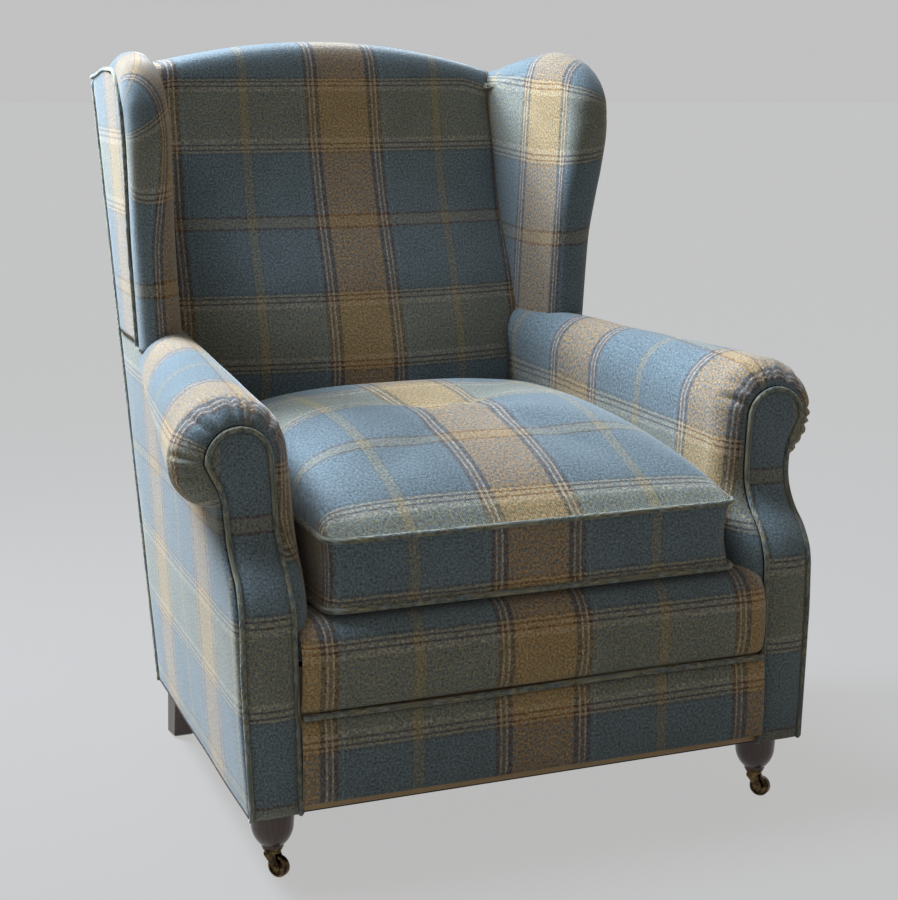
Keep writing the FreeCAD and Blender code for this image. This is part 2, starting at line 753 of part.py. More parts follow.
def leg_bolts():
    """Hanger bolt through each leg's top into the frame above it."""
    bolts = []
    for name, x, y, down in (
            ("front", "leg_x", "leg_y", "bolt_down"),
            ("rear", "rear_leg_x", REAR_LEG_Y, "bolt_down")):
        for hand, sign in (("right", ""), ("left", "-")):
            bolt = doc.addObject("Part::Cylinder", "%s_bolt_%s" % (name, hand))
            bind(bolt, "Radius", "bolt_radius")
            bind(bolt, "Height", "%s + bolt_up" % down)
            place(bolt, sign + x, back(y), "base_height - " + down)
            bolts.append(bolt)
    group("leg_bolts", bolts)


def castor(hand, x):
    """Trailing castor: plate with stem and swivel pin, horn, axle and wheel."""
    top = "castor_height"
    under = "(castor_height - plate_thick)"
    crown = "(%s - fit_gap)" % under
    crown_low = "(%s - horn_thick)" % crown
    plate = new_body("castor_plate_" + hand)
    revolve(plate, [
        ("0", top + " + stem_length"),
        ("stem_radius", top + " + stem_length"),
        ("stem_radius", top),
        ("leg_foot_radius", top),
        ("leg_foot_radius", under),
        ("pivot_radius", under),
        ("pivot_radius", crown_low + " - fit_gap"),
        ("pivot_radius + 1.6", crown_low + " - fit_gap"),
        ("pivot_radius + 1.2", crown_low + " - 1.5"),
        ("0", crown_low + " - 1.5"),
    ])
    place(plate, x, back("leg_y"), "0")

    horn = new_body("castor_horn_" + hand)
    revolve(horn, [
        ("pivot_radius + turn_gap", crown),
        ("horn_radius - 1", crown),
        ("horn_radius", crown + " - 1"),
        ("horn_radius", crown_low),
        ("pivot_radius + turn_gap", crown_low),
    ], "crown")
    inner_side = "(wheel_width / 2 + 2 * fit_gap)"
    for number, start in enumerate((inner_side, "(-%s - ear_thick)" % inner_side), 1):
        ear = pad(horn, "XZ_Plane", [
            ("-horn_radius + 2", crown_low + " + 1"),
            ("-horn_radius + 2", crown_low + " - 3"),
            ("castor_trail - eye_radius", "wheel_radius", "1.01 * eye_radius"),
            ("castor_trail", "wheel_radius - eye_radius", "1.01 * eye_radius"),
            ("castor_trail + eye_radius", "wheel_radius"),
            ("castor_trail - 1.5", crown_low + " - 1"),
            ("castor_trail - 1.5", crown_low + " + 1"),
        ], "ear_thick", start, "ear_%d" % number)
        ear.Reversed = False
    eye = new_sketch(horn, "XZ_Plane", "eye")
    eye.addGeometry(Part.Circle(Vector(size("castor_trail"), size("wheel_radius"), 0),
                                Vector(0, 0, 1), size("axle_radius")), False)
    for kind, name in (("DistanceX", "castor_trail"), ("DistanceY", "wheel_radius")):
        number = eye.addConstraint(Sketcher.Constraint(kind, -1, 1, 0, 3, size(name)))
        bind(eye, "Constraints[%d]" % number, name)
    number = eye.addConstraint(Sketcher.Constraint("Radius", 0, size("axle_radius")))
    bind(eye, "Constraints[%d]" % number, "axle_radius + turn_gap")
    hole = horn.newObject("PartDesign::Pocket", "axle_hole")
    hole.Profile = eye
    hole.Midplane = True
    bind(hole, "Length", "4 * wheel_width")
    place(horn, x, back("leg_y"), "0", "castor_turn")

    axle = new_body("castor_axle_" + hand)
    half = "(wheel_width / 2 + 2 * fit_gap + ear_thick + 0.05)"
    axle_sketch = [
        ("0", "-%s - 1.2" % half), ("axle_radius + 0.4", "-%s - 1.2" % half),
        ("axle_radius + 1.2", "-" + half), ("axle_radius", "-" + half),
        ("axle_radius", half), ("axle_radius + 1.2", half),
        ("axle_radius + 0.4", half + " + 1.2"), ("0", half + " + 1.2"),
    ]
    lying(axle, axle_sketch, x)

    wheel = new_body("castor_wheel_" + hand)
    hub = "(axle_radius + 2.2)"
    edge = "(wheel_width / 2)"
    rim = "(wheel_radius - 3)"
    lying(wheel, [
        ("axle_radius + turn_gap", "-" + edge), (hub, "-" + edge),
        (hub, "-%s + 2" % edge), (rim, "-%s + 2" % edge), (rim, "-" + edge),
        ("wheel_radius - 1.5", "-" + edge, "2.2"),
        ("wheel_radius", "-%s + 1.5" % edge), ("wheel_radius", "%s - 1.5" % edge, "2.2"),
        ("wheel_radius - 1.5", edge), (rim, edge), (rim, "%s - 2" % edge),
        (hub, "%s - 2" % edge), (hub, edge), ("axle_radius + turn_gap", edge),
    ], x)


def lying(body, corners, x):
    """Turned piece whose axis is the castor's axle."""
    sketch = new_sketch(body, "XY_Plane", "profile")
    draw(sketch, corners)
    feature = body.newObject("PartDesign::Revolution", "turned")
    feature.Profile = sketch
    feature.ReferenceAxis = (sketch, ["V_Axis"])
    feature.Angle = 360
    place(body, x + " + castor_trail * cos(castor_turn)",
          back("leg_y") + " + castor_trail * sin(castor_turn)", "wheel_radius", "castor_turn")


# Soft pieces are worked out here from the sheet's sizes

FRONT_Y = size("front_y")
CURVE_LOW = size("curve_low")
CURVE_HIGH = size("curve_high")
CURVE_BACK = size("curve_back")
BEND = size(CURVE_RADIUS)
FIT = size("fit_gap")


def front_curve(z):
    """How far the arm front lies back at a height."""
    if z <= CURVE_LOW:
        return 0.0
    if z >= CURVE_HIGH:
        return CURVE_BACK
    if z <= (CURVE_LOW + CURVE_HIGH) / 2:
        return BEND - math.sqrt(BEND ** 2 - (z - CURVE_LOW) ** 2)
    return CURVE_BACK - BEND + math.sqrt(BEND ** 2 - (CURVE_HIGH - z) ** 2)


def line(start, end):
    return Part.LineSegment(Vector(*start), Vector(*end)).toShape()


def arc(start, middle, end):
    return Part.Arc(Vector(*start), Vector(*middle), Vector(*end)).toShape()


def moved(shape, x=0.0, y=0.0, z=0.0):
    copy = shape.copy()
    copy.translate(Vector(x, y, z))
    return copy


def flipped(shape):
    """Mirror image on the other side of the chair."""
    return shape.mirror(Vector(), Vector(1, 0, 0))


def keyhole(inset):
    """Outline of the arm front, seen from the front, drawn in by an inset."""
    low = size("base_height")
    cx, cz, radius = size("scroll_x"), size("scroll_z"), size("scroll_radius")
    inner, waist = size("facing_inner"), size("facing_waist")
    neck, hip = size("facing_neck"), size("facing_hip")
    outer = size("front_half")
    corner = 10.0
    leave = math.radians(-42)
    under = (cx + radius * math.cos(leave), 0, cz + radius * math.sin(leave))
    pinch = (neck, 0, (cz + CURVE_HIGH) / 2 - radius)
    edges = [
        line((inner, 0, low), (waist, 0, CURVE_LOW)),
        line((waist, 0, CURVE_LOW), (cx - radius, 0, cz - 0.6 * radius)),
        line((cx - radius, 0, cz - 0.6 * radius), (cx - radius, 0, cz)),
        arc((cx - radius, 0, cz),
            (cx - radius * math.sqrt(0.5), 0, cz + radius * math.sqrt(0.5)), (cx, 0, cz + radius)),
        arc((cx, 0, cz + radius),
            (cx + radius * math.cos(0.3), 0, cz + radius * math.sin(0.3)), under),
        arc(under, (neck + 3.0, 0, (under[2] + pinch[2]) / 2 + 4), pinch),
        line(pinch, (hip, 0, CURVE_LOW)),
        line((hip, 0, CURVE_LOW), (outer, 0, low + corner)),
        arc((outer, 0, low + corner),
            (outer - corner * 0.293, 0, low + corner * 0.293), (outer - corner, 0, low)),
        line((outer - corner, 0, low), (inner, 0, low)),
    ]
    wire = Part.Wire(edges)
    if inset:
        wire = wire.makeOffset2D(-inset)
    return wire


def curved_slab(front, thick):
    """Slab behind the curve of the arm front, across one arm."""
    low, high = size("base_height") - 10, size("scroll_z") + 2 * size("scroll_radius")
    middle = (CURVE_LOW + CURVE_HIGH) / 2
    quarter = (CURVE_LOW + middle) / 2, (CURVE_HIGH + middle) / 2

    def at(z, deep):
        return (0, front + front_curve(z) + deep, z)

    edges = [line(at(low, 0), at(CURVE_LOW, 0)),
             arc(at(CURVE_LOW, 0), at(quarter[0], 0), at(middle, 0)),
             arc(at(middle, 0), at(quarter[1], 0), at(CURVE_HIGH, 0)),
             line(at(CURVE_HIGH, 0), at(high, 0)),
             line(at(high, 0), at(high, thick)),
             line(at(high, thick), at(CURVE_HIGH, thick)),
             arc(at(CURVE_HIGH, thick), at(quarter[1], thick), at(middle, thick)),
             arc(at(middle, thick), at(quarter[0], thick), at(CURVE_LOW, thick)),
             line(at(CURVE_LOW, thick), at(low, thick)),
             line(at(low, thick), at(low, 0))]
    face = Part.Face(Part.Wire(edges))
    return face.extrude(Vector(2 * size("front_half"), 0, 0))


def arm_facings():
    """Padded panel on the arm front, and the piping cord sewn round it."""
    thick, cord = size("facing_thick"), size("piping")
    length = 4 * CURVE_BACK
    through = Vector(0, length, 0)
    slab = curved_slab(0, thick)
    start = Vector(0, -CURVE_BACK, 0)
    for name, outer, inner, layer in (
            ("arm_facing", cord + FIT, None, slab),
            ("facing_piping", 0.0, cord, curved_slab(-2, thick))):
        form = Part.Face(keyhole(outer)).extrude(through)
        if inner:
            form = form.cut(Part.Face(keyhole(inner)).extrude(through))
        form.translate(start)
        shape = moved(form.common(layer), 0, FRONT_Y, 0)
        made(name + "_right", shape)
        made(name + "_left", flipped(shape))


def arm_section(y, centre, radius, rise, walls, neck):
    """Section across the padded arm: inner wall, roll over the top, tucked in under it."""
    cx, cz = centre
    nx, nz = neck
    low = walls[0][1]
    wall = max([size(inner_arm(str(y))) + size("arm_wall")] + [x + 12 for x, z in walls])
    slant = math.sqrt(0.5)
    edges = []
    for (x, z), (x_next, z_next) in zip(walls[:-1], walls[1:]):
        edges.append(line((x, y, z), (x_next, y, z_next)))
    edges += [
        arc((cx - radius, y, cz), (cx - radius * slant, y, cz + rise * slant), (cx, y, cz + rise)),
        arc((cx, y, cz + rise), (cx + radius * slant, y, cz + rise * slant), (cx + radius, y, cz)),
        arc((cx + radius, y, cz),
            (nx + (cx + radius - nx) * slant, y, nz + (cz - nz) * (1 - slant)), (nx, y, nz)),
        line((nx, y, nz), (nx - 14, y, nz)),
        line((nx - 14, y, nz), (wall, y, nz)),
        line((wall, y, nz), (wall, y, low)),
        line((wall, y, low), (walls[0][0], y, low)),
    ]
    return Part.Wire(edges)


def grown(part):
    """Share of a rounding's full size part of the way along it."""
    return math.sqrt(1 - (1 - min(max(part, 0.0), 1.0)) ** 2)


def arm_padding(cutters):
    """Inner arm and roll in one form, rounded towards the facing that covers its front."""
    thick = size("facing_thick")
    y_front = thick + FIT + CURVE_BACK
    y_roll, y_tail = size("y_roll"), size("y_tail")
    scroll_x, scroll_z = size("scroll_x"), size("scroll_z")
    small = size("scroll_radius")
    big, rise = size("roll_radius"), size("roll_rise")
    tail, tail_rise = size("roll_tail"), size("roll_tail_rise")
    waist, inner = size("facing_waist"), size("arm_inner")
    low = size("arm_pad_low")
    levels = [low, CURVE_LOW, (CURVE_LOW + CURVE_HIGH) / 2, CURVE_HIGH]
    neck_z = CURVE_HIGH + 1
    tail_z = size("arm_top_tail") - tail_rise

    def near_facing(y, z):
        share = (z - low) / (scroll_z - low)
        edge = waist + (scroll_x - small - waist) * share
        full = inner + (scroll_x - big - inner) * share
        start = thick + FIT + front_curve(z)
        return edge + (full - edge) * grown((y - start) / (y_roll - start))

    sections = []
    lengths = [0.0, 0.04, 0.12, 0.22, 0.34, 0.46, 0.57, 0.63, 0.75, 1.0]
    for part in lengths:
        y = thick + FIT + (y_roll - thick - FIT) * part
        share = grown((y - y_front) / (y_roll - y_front))
        radius = small + (big - small) * share
        walls = [(near_facing(y, z), z) for z in levels] + [(scroll_x - radius, scroll_z)]
        neck_x = size(side(str(y), str(neck_z)))
        sections.append(arm_section(y, (scroll_x, scroll_z), radius,
                                    small + (rise - small) * share, walls, (neck_x, neck_z)))
    cx_tail = size(side(str(y_tail), str(tail_z))) - tail
    for part in (0.33, 0.66, 1.0, 1.24):
        y = y_roll + (y_tail - y_roll) * part
        share = min(part, 1.0)
        neck_here = neck_z + (tail_z - 8 - neck_z) * share
        neck_x = size(side(str(y), str(neck_here)))
        radius = big + (tail - big) * share
        cx = scroll_x + (cx_tail - scroll_x) * share
        if part > 1.0:
            cx = size(side(str(y), str(tail_z))) - tail
        cz = scroll_z + (tail_z - scroll_z) * share
        foot = size(inner_arm(str(y)))
        top = cx - radius
        walls = [(foot + (top - foot) * (z - low) / (cz - low), z) for z in levels] + [(top, cz)]
        sections.append(arm_section(y, (cx, cz), radius,
                                    rise + (tail_rise - rise) * share, walls, (neck_x, neck_here)))
    form = Part.makeLoft(sections, True, True)
    form = form.cut(curved_slab(-4 * CURVE_BACK, 4 * CURVE_BACK + thick + 2 * FIT))
    shape = moved(form, 0, FRONT_Y, 0)
    for cutter in cutters:
        shape = shape.cut(cutter)
    made("arm_padding_right", shape)
    made("arm_padding_left", flipped(shape))
    return shape


def side_point(y, z, inset):
    """Place inside the plane of the chair's side by an inset across the chair."""
    return Vector(size(side(str(y), str(z))) - inset, FRONT_Y + y, z)


def wing_padding(cutters):
    """Wing with its rounded ear and roll front, round the wing board."""
    thick = size("wing_thick")
    ear_y, ear_z = size("y_wing_ear"), size(WING_EAR)
    top, tail_z, foot = size(WING_TOP), size(WING_TAIL), size("wing_foot")
    front = [
        (size("y_wing_neck") + 2, foot),
        (size("y_wing_neck"), size(WING_NECK)),
        (ear_y + 7, ear_z - 55),
        (ear_y, ear_z),
        (ear_y + 0.45 * thick, top - 0.6 * thick),
        (ear_y + 1.85 * thick, top),
    ]

    def outline(inset):
        points = [side_point(y, z, inset) for y, z in front]
        curve = Part.BSplineCurve()
        curve.interpolate(points)
        post = POST_FRONT + " + web_thick + 2 * fit_gap"
        high = side_point(size(rear(str(tail_z), post)), tail_z, inset)
        low = side_point(size(rear(str(foot), post)), foot, inset)
        return Part.Wire([
            curve.toShape(),
            Part.LineSegment(points[-1], high).toShape(),
            Part.LineSegment(high, low).toShape(),
            Part.LineSegment(low, points[0]).toShape(),
        ])

    form = Part.makeLoft([outline(thick), outline(0.0)], True, True)
    rolled = [edge for edge in form.Edges
              if edge.BoundBox.ZMax > foot + 1 and (lies_on(edge, thick) or lies_on(edge, 0.0))
              and edge.BoundBox.YMin < FRONT_Y + ear_y + 3 * thick]
    form = form.makeFillet(size("wing_round"), rolled)
    for cutter in cutters:
        form = form.cut(cutter)
    made("wing_padding_right", form)
    made("wing_padding_left", flipped(form))
    return form


def lies_on(edge, inset):
    """Whether an edge lies in the plane of the side, drawn in by an inset."""
    for vertex in edge.Vertexes:
        point = vertex.Point
        plane = side_point(point.y - FRONT_Y, point.z, inset)
        if abs(plane.x - point.x) > 0.01:
            return False
    return True


def back_padding(cutters):
    """Crowned inside back whose upper edge is arched and rolls over the top rail."""
    low = size("back_pad_low")
    straight = size("back_straight")
    y_mid, y_top = size(Y_BACK_MID), size(Y_BACK_TOP)
    half = size(side(Y_BACK_TOP, "back_height"))
    crown = size("back_crown")
    behind = POST_FRONT + " + web_thick + 2 * fit_gap"
    sections = []
    for number in range(-4, 5):
        part = number / 4
        x = part * half
        fall = part ** 2
        high = size("back_height") - size("arch_drop") * fall
        set_back = crown * fall
        foot = Vector(x, size("y_seat_back") + set_back, low)
        front = [
            Vector(x, size("y_seat_back") + set_back, low + straight),
            Vector(x, y_mid + set_back, (low + straight + high) / 2),
            Vector(x, y_top - 13 + set_back * 0.4, high - 60),
        ]
        curve = Part.BSplineCurve()
        curve.interpolate(front)
        step = high - 80
        rear_top = Vector(x, size(rear(str(high - 8), SKIN)), high - 8)
        crest = Vector(x, y_top + 22, high)
        brow = (x, y_top - 5 + set_back * 0.3, high - 20)
        edges = [
            Part.LineSegment(foot, front[0]).toShape(),
            curve.toShape(),
            arc(front[-1], brow, crest),
            Part.LineSegment(crest, rear_top).toShape(),
            line(rear_top, (x, size(rear(str(step), SKIN)), step)),
            line((x, size(rear(str(step), SKIN)), step), (x, size(rear(str(step), behind)), step)),
            line((x, size(rear(str(step), behind)), step), (x, size(rear(str(low), behind)), low)),
            line((x, size(rear(str(low), behind)), low), foot),
        ]
        sections.append(Part.Wire(edges))
    shape = moved(Part.makeLoft(sections, True, False), 0, FRONT_Y, 0)
    for cutter in cutters:
        shape = shape.cut(cutter)
    return made("inside_back_padding", shape)


def behind(inset):
    """Everything behind a plane that lies before the outside back by an inset."""
    edge = 3 * size("front_half")
    corners = []
    for z in (0.0, 2 * size("back_height")):
        near = FRONT_Y + size(rear(str(z), inset))
        corners.append([Vector(-edge, near, z), Vector(edge, near, z),
                        Vector(edge, near + edge, z), Vector(-edge, near + edge, z)])
    wires = [Part.makePolygon(points + [points[0]]) for points in corners]
    return Part.makeLoft(wires, True, True)


def beyond(inset, y_near, y_far, top):
    """Everything outside a plane that runs inside the chair's side by an inset."""
    edge = 3 * size("front_half")
    near = size(y_near)
    corners = []
    for z in (0.0, top):
        far = size(rear(str(z), y_far))
        corners.append([side_point(near, z, inset), side_point(far, z, inset),
                        Vector(edge, FRONT_Y + far, z), Vector(edge, FRONT_Y + near, z)])
    wires = [Part.makePolygon(points + [points[0]]) for points in corners]
    return Part.makeLoft(wires, True, True)


def seat_lip(cutters):
    """Padded roll along the front of the seat, over the front rail."""
    low, top = size("lip_low"), size("deck_top")
    over = size(RAIL_TOP) + 2 * size("web_thick") + FIT
    inner = size("rail_set") - FIT
    proud = size("lip_proud")
    rise = top - low
    full = low + 0.5 * rise
    half = size("facing_inner") - FIT
    deep = size("lip_deep")
    wire = Part.Wire([
        line((-half, inner, low), (-half, 8 - proud, low)),
        arc((-half, 8 - proud, low), (-half, 2 - proud, (low + full) / 2), (-half, -proud, full)),
        arc((-half, -proud, full), (-half, 10 - proud, full + 0.36 * rise), (-half, 42 - proud, top)),
        line((-half, 42 - proud, top), (-half, deep, top)),
        line((-half, deep, top), (-half, deep, over)),
        line((-half, deep, over), (-half, inner, over)),
        line((-half, inner, over), (-half, inner, low)),
    ])
    shape = moved(Part.Face(wire).extrude(Vector(2 * half, 0, 0)), 0, FRONT_Y, 0)
    for cutter in cutters:
        shape = shape.cut(cutter)
    return made("seat_lip", shape)


def seat_cushion():
    """Loose box cushion: upright borders that draw in, a crowned top and a flatter underside."""
    front, deep = size("y_cushion"), size("cushion_deep")
    low = size("deck_top") + FIT
    edge, rise, crest = size("cushion_edge"), size("cushion_rise"), size("cushion_crown")
    draw_in = size("cushion_draw")
    half = size("cushion_half")
    cord = size("piping")
    taper = math.tan(math.radians(size("arm_taper")))
    stations = [(0.0, 0.01), (0.04, 0.2), (0.16, 0.46), (0.4, 0.72), (0.68, 0.93),
                (0.87, 1.0), (0.96, 0.72), (1.0, 0.05)]
    sections = []
    for part, fullness in stations:
        y = front + deep * part
        wide = half - taper * deep * part
        seam = low + edge + rise * part
        high = seam + max(2.0, (low + crest - seam) * fullness)
        middle = (low + seam) / 2
        sections.append(Part.Wire([
            arc((-wide, y, low + 3), (0, y, low), (wide, y, low + 3)),
            arc((wide, y, low + 3), (wide - draw_in, y, middle), (wide, y, seam)),
            arc((wide, y, seam), (0, y, high), (-wide, y, seam)),
            arc((-wide, y, seam), (-wide + draw_in, y, middle), (-wide, y, low + 3)),
        ]))
    radius = cord / 2
    out = radius + FIT
    bend = 3.5 * cord

    def corners(grow, level, climb):
        points = []
        for x, part in ((-1, 0.0), (1, 0.0), (1, 1.0), (-1, 1.0)):
            wide = half + grow - taper * deep * part
            points.append(Vector(x * wide, front - grow + (deep + 2 * grow) * part,
                                 level + climb * part))
        return points

    plan = rounded(corners(0.0, 0.0, 0.0), bend - out)
    form = Part.makeLoft(sections, True, False).common(
        Part.Face(plan).extrude(Vector(0, 0, size("back_height"))))
    made("seat_cushion", moved(form, 0, FRONT_Y, 0))
    loops = [cord_loop(corners(out, low + radius + 1, 0.0), bend, radius),
             cord_loop(corners(out, low + edge, rise), bend, radius)]
    made("cushion_piping", moved(Part.makeCompound(loops), 0, FRONT_Y, 0))


def rounded(corners, bend):
    """Closed outline through four corners, each turned by an arc."""
    turns = []
    for index, corner in enumerate(corners):
        before = (corners[index - 1] - corner).normalize()
        after = (corners[(index + 1) % len(corners)] - corner).normalize()
        half = before.getAngle(after) / 2
        centre = corner + (before + after).normalize() * (bend / math.cos(half))
        middle = centre + (corner - centre).normalize() * (bend * math.tan(half))
        turns.append((corner + before * bend, middle, corner + after * bend))
    edges = []
    for index, (start, middle, end) in enumerate(turns):
        following = turns[(index + 1) % len(turns)][0]
        edges.append(Part.Arc(start, middle, end).toShape())
        edges.append(Part.LineSegment(end, following).toShape())
    return Part.Wire(edges)


def cord_loop(corners, bend, radius):
    """Closed round cord along a rounded outline."""
    path = rounded(corners, bend)
    along = (corners[1] - corners[0]).normalize()
    start = corners[0] + along * bend
    ring = Part.Wire([Part.Circle(start, along, radius).toShape()])
    return path.makePipeShell([ring], True, False)


def front_border():
    """Lower border board with a slightly full face, and the piping cord above it."""
    border = new_body("front_border")
    full = "3"
    radius = "((((border_high - border_low) / 2)^2 + %s^2) / (2 * %s))" % (full, full)
    face = "(front_y - border_proud + %s)" % full
    inner = "(front_y + rail_set - fit_gap)"
    pad(border, "YZ_Plane",
        [(inner, "border_high"), (inner, "border_low"),
         (face, "border_low", "-" + radius), (face, "border_high")],
        "2 * (facing_inner - fit_gap)", "-(facing_inner - fit_gap)", "board")
    cord = keep(doc.addObject("Part::Cylinder", "border_piping"), "border_piping")
    bind(cord, "Radius", "piping / 2")
    bind(cord, "Height", "2 * (facing_inner - fit_gap)")
    place(cord, "-(facing_inner - fit_gap)", "(front_y - border_proud + piping / 2)",
          "(border_high + lip_low) / 2", "90", Vector(0, 1, 0))


def seat_deck():
    low = RAIL_TOP + " + 2 * web_thick + fit_gap"
    y_near = "(lip_deep + fit_gap)"
    corners = []
    for level in (low, "deck_top"):
        y_far = rear(level, POST_FRONT + " + fit_gap")
        corners.append([
            ("-" + inner_arm(y_near) + " + 4 * fit_gap", back(y_near)),
            (inner_arm(y_near) + " - 4 * fit_gap", back(y_near)),
            (inner_arm(y_far) + " - 8 * fit_gap", back(y_far)),
            ("-" + inner_arm(y_far) + " + 8 * fit_gap", back(y_far)),
        ])
    return block("seat_deck", low, "deck_top", corners[0], corners[1])


def dust_cover():
    """Cloth under the frame, with holes for the legs' bolts."""
    cover = new_body("dust_cover")
    y_near, y_far = "rail_set", "base_depth - %s" % SKIN
    level = "base_height"
    pad(cover, "XY_Plane",
        [("-stump_inner - stump_width + 8", back(y_near)), ("stump_inner + stump_width - 8", back(y_near)),
         (side(y_far, level, SKIN + " + 6"), back(y_far)),
         ("-" + side(y_far, level, SKIN + " + 6"), back(y_far))],
        "frame_lift - 2 * fit_gap", "base_height + fit_gap", "cloth")
    for x, y in (("leg_x", "leg_y"), ("rear_leg_x", REAR_LEG_Y)):
        for sign in ("", "-"):
            bolt_hole(cover, sign + x, back(y), FRAME_LOW, "frame_lift")


# Assembly

seat_frame()
corner_blocks()
stump = arm_stump()
arm_rail, tack_rail = arm_rails()
post, top_rail = back_frame()
wing_board = wing_boards()
arm_panel, wing_panel = outside_panels()
webbing()
front_legs()
rear_legs()
leg_bolts()
castor("right", "leg_x")
castor("left", "-leg_x")
front_border()
deck = seat_deck()
dust_cover()
doc.recompute()

arm_facings()
top = 2 * size("back_height")
arm = arm_padding([
    behind(POST_FRONT + " + web_thick + 2 * fit_gap"),
    beyond(size(SKIN), "y_wing_neck + seam_back", "-post_deep", top),
    stump.Shape, arm_rail.Shape, tack_rail.Shape, wing_board.Shape, arm_panel.Shape])
wing_padding([moved(arm, -FIT, FIT, 2 * FIT), moved(arm, FIT, FIT, 2 * FIT),
              wing_board.Shape, wing_panel.Shape])
beside_back = [
    beyond(size("wing_thick") + FIT, "0", POST_FRONT, top),
    beyond(size("wing_thick") + FIT, "0", "-post_deep", size(POST_TOP) + FIT),
    beyond(size(SKIN), "0", "-post_deep", top),
    moved(arm, -FIT, 0, 0),
    moved(post.Shape, 0, -FIT, FIT),
]
back_padding(beside_back + [flipped(shape) for shape in beside_back]
             + [top_rail.Shape, moved(top_rail.Shape, 0, -FIT, FIT)])
beside_lip = [moved(arm, -FIT, 0, 0)]
seat_lip(beside_lip + [flipped(shape) for shape in beside_lip])
seat_cushion()
doc.recompute()

for item in doc.Objects:
    if "Invalid" in item.State or "Error" in item.State:
        raise RuntimeError("%s did not compute" % item.Label)
for piece in NODES:
    if piece.Shape.isNull() or not piece.Shape.isValid():
        raise RuntimeError("%s has no valid shape" % piece.Label)

os.makedirs("parts", exist_ok=True)
for piece in NODES:
    piece.Shape.exportStep(os.path.join("parts", piece.Label + ".step"))
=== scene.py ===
import math

import bpy
import numpy as np
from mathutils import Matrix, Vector


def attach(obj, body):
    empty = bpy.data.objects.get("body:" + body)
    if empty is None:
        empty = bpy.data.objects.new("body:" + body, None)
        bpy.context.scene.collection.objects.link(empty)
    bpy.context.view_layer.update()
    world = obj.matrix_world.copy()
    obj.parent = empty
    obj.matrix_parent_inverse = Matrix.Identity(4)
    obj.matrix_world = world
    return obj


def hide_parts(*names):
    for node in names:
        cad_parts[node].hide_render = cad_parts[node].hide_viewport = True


# Upholstered wing armchair in plaid wool. Sizes are in millimetres, measured back
# from the front of the base and up from the floor, and become metres in the meshes.

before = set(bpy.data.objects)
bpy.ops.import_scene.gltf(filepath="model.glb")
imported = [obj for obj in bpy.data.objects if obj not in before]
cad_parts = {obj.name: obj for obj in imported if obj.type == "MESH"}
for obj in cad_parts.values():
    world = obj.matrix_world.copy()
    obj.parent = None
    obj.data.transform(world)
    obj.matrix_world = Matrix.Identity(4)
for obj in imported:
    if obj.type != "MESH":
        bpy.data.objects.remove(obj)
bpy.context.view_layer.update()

# The base: its front in the frame's own depth, its underside, half width and depth
FRONT, BASE, HALF_WIDTH, DEPTH = -406.25, 89.0, 404.0, 645.0
# Slopes of the sides, going back and going up, of the outside back, and of the seat's sides
TAPER = math.tan(math.radians(8.14))
LEAN = math.tan(math.radians(3.3))
RAKE = math.tan(math.radians(11.0))
SEAT_TAPER = math.tan(math.radians(4.45))


def side_x(y, z):
    """Outside of the chair at a depth and a height."""
    return HALF_WIDTH - TAPER * y + LEAN * (z - BASE)


def rear_y(z):
    """Outside back at a height."""
    return DEPTH + RAKE * (z - BASE)


def ease(a, b, t):
    """Smooth step from 0 at a to 1 at b."""
    t = np.clip((t - a) / (b - a), 0.0, 1.0)
    return t * t * (3.0 - 2.0 * t)


def follow(knots, t):
    """Smooth curve through (place, value) knots."""
    xs = np.array([k[0] for k in knots], float)
    ys = np.array([k[1] for k in knots], float)
    h = np.diff(xs)
    d = np.diff(ys) / h
    m = np.zeros(len(xs))
    m[1:-1] = np.where(d[:-1] * d[1:] > 0, 2 * d[:-1] * d[1:] / (d[:-1] + d[1:] + 1e-12), 0.0)
    m[0], m[-1] = d[0], d[-1]
    t = np.clip(np.asarray(t, float), xs[0], xs[-1])
    i = np.clip(np.searchsorted(xs, t) - 1, 0, len(h) - 1)
    s = (t - xs[i]) / h[i]
    return ((2 * s**3 - 3 * s**2 + 1) * ys[i] + (s**3 - 2 * s**2 + s) * h[i] * m[i]
            + (-2 * s**3 + 3 * s**2) * ys[i + 1] + (s**3 - s**2) * h[i] * m[i + 1])


def lengths(path):
    """Length along a path at each of its points."""
    return np.concatenate([[0], np.cumsum(np.linalg.norm(np.diff(path, axis=0), axis=1))])


def smooth(points, knots, at):
    """Smooth curve at some lengths, through points that lie at the lengths in knots."""
    points = np.asarray(points, float)
    return np.stack([follow(list(zip(knots, points[:, k])), at) for k in range(points.shape[1])], 1)


def straight(path, at):
    """Places on a path of straight steps, at some lengths."""
    total = lengths(path)
    return np.stack([np.interp(at, total, path[:, k]) for k in range(path.shape[1])], 1)


# Front of the arm: straight below, carried back by two arcs, straight at the scroll
SWEEP_LOW, SWEEP_HIGH, SWEEP = 330.0, 465.0, 57.0


def front_curve(z):
    """How far back the arm's front lies at a height."""
    half = 0.5 * (SWEEP_HIGH - SWEEP_LOW)
    bend = ((SWEEP_HIGH - SWEEP_LOW) ** 2 + SWEEP**2) / (4 * SWEEP)
    z = np.asarray(z, float)
    low = bend - np.sqrt(bend**2 - np.clip(z - SWEEP_LOW, 0, half) ** 2)
    high = SWEEP - bend + np.sqrt(bend**2 - np.clip(SWEEP_HIGH - z, 0, half) ** 2)
    return np.where(z < SWEEP_LOW + half, low, high)


# Weft lines of the plaid, in millimetres from the middle of its olive band
DOUBLE_LINE, SINGLE_LINE = 53.0, 166.5
# Where the olive band runs round the foot of the chair
LOW_WEFT = 281.0
# How far the cloth of the front panels and the cushion is stretched along and across
STRETCH = 1.11
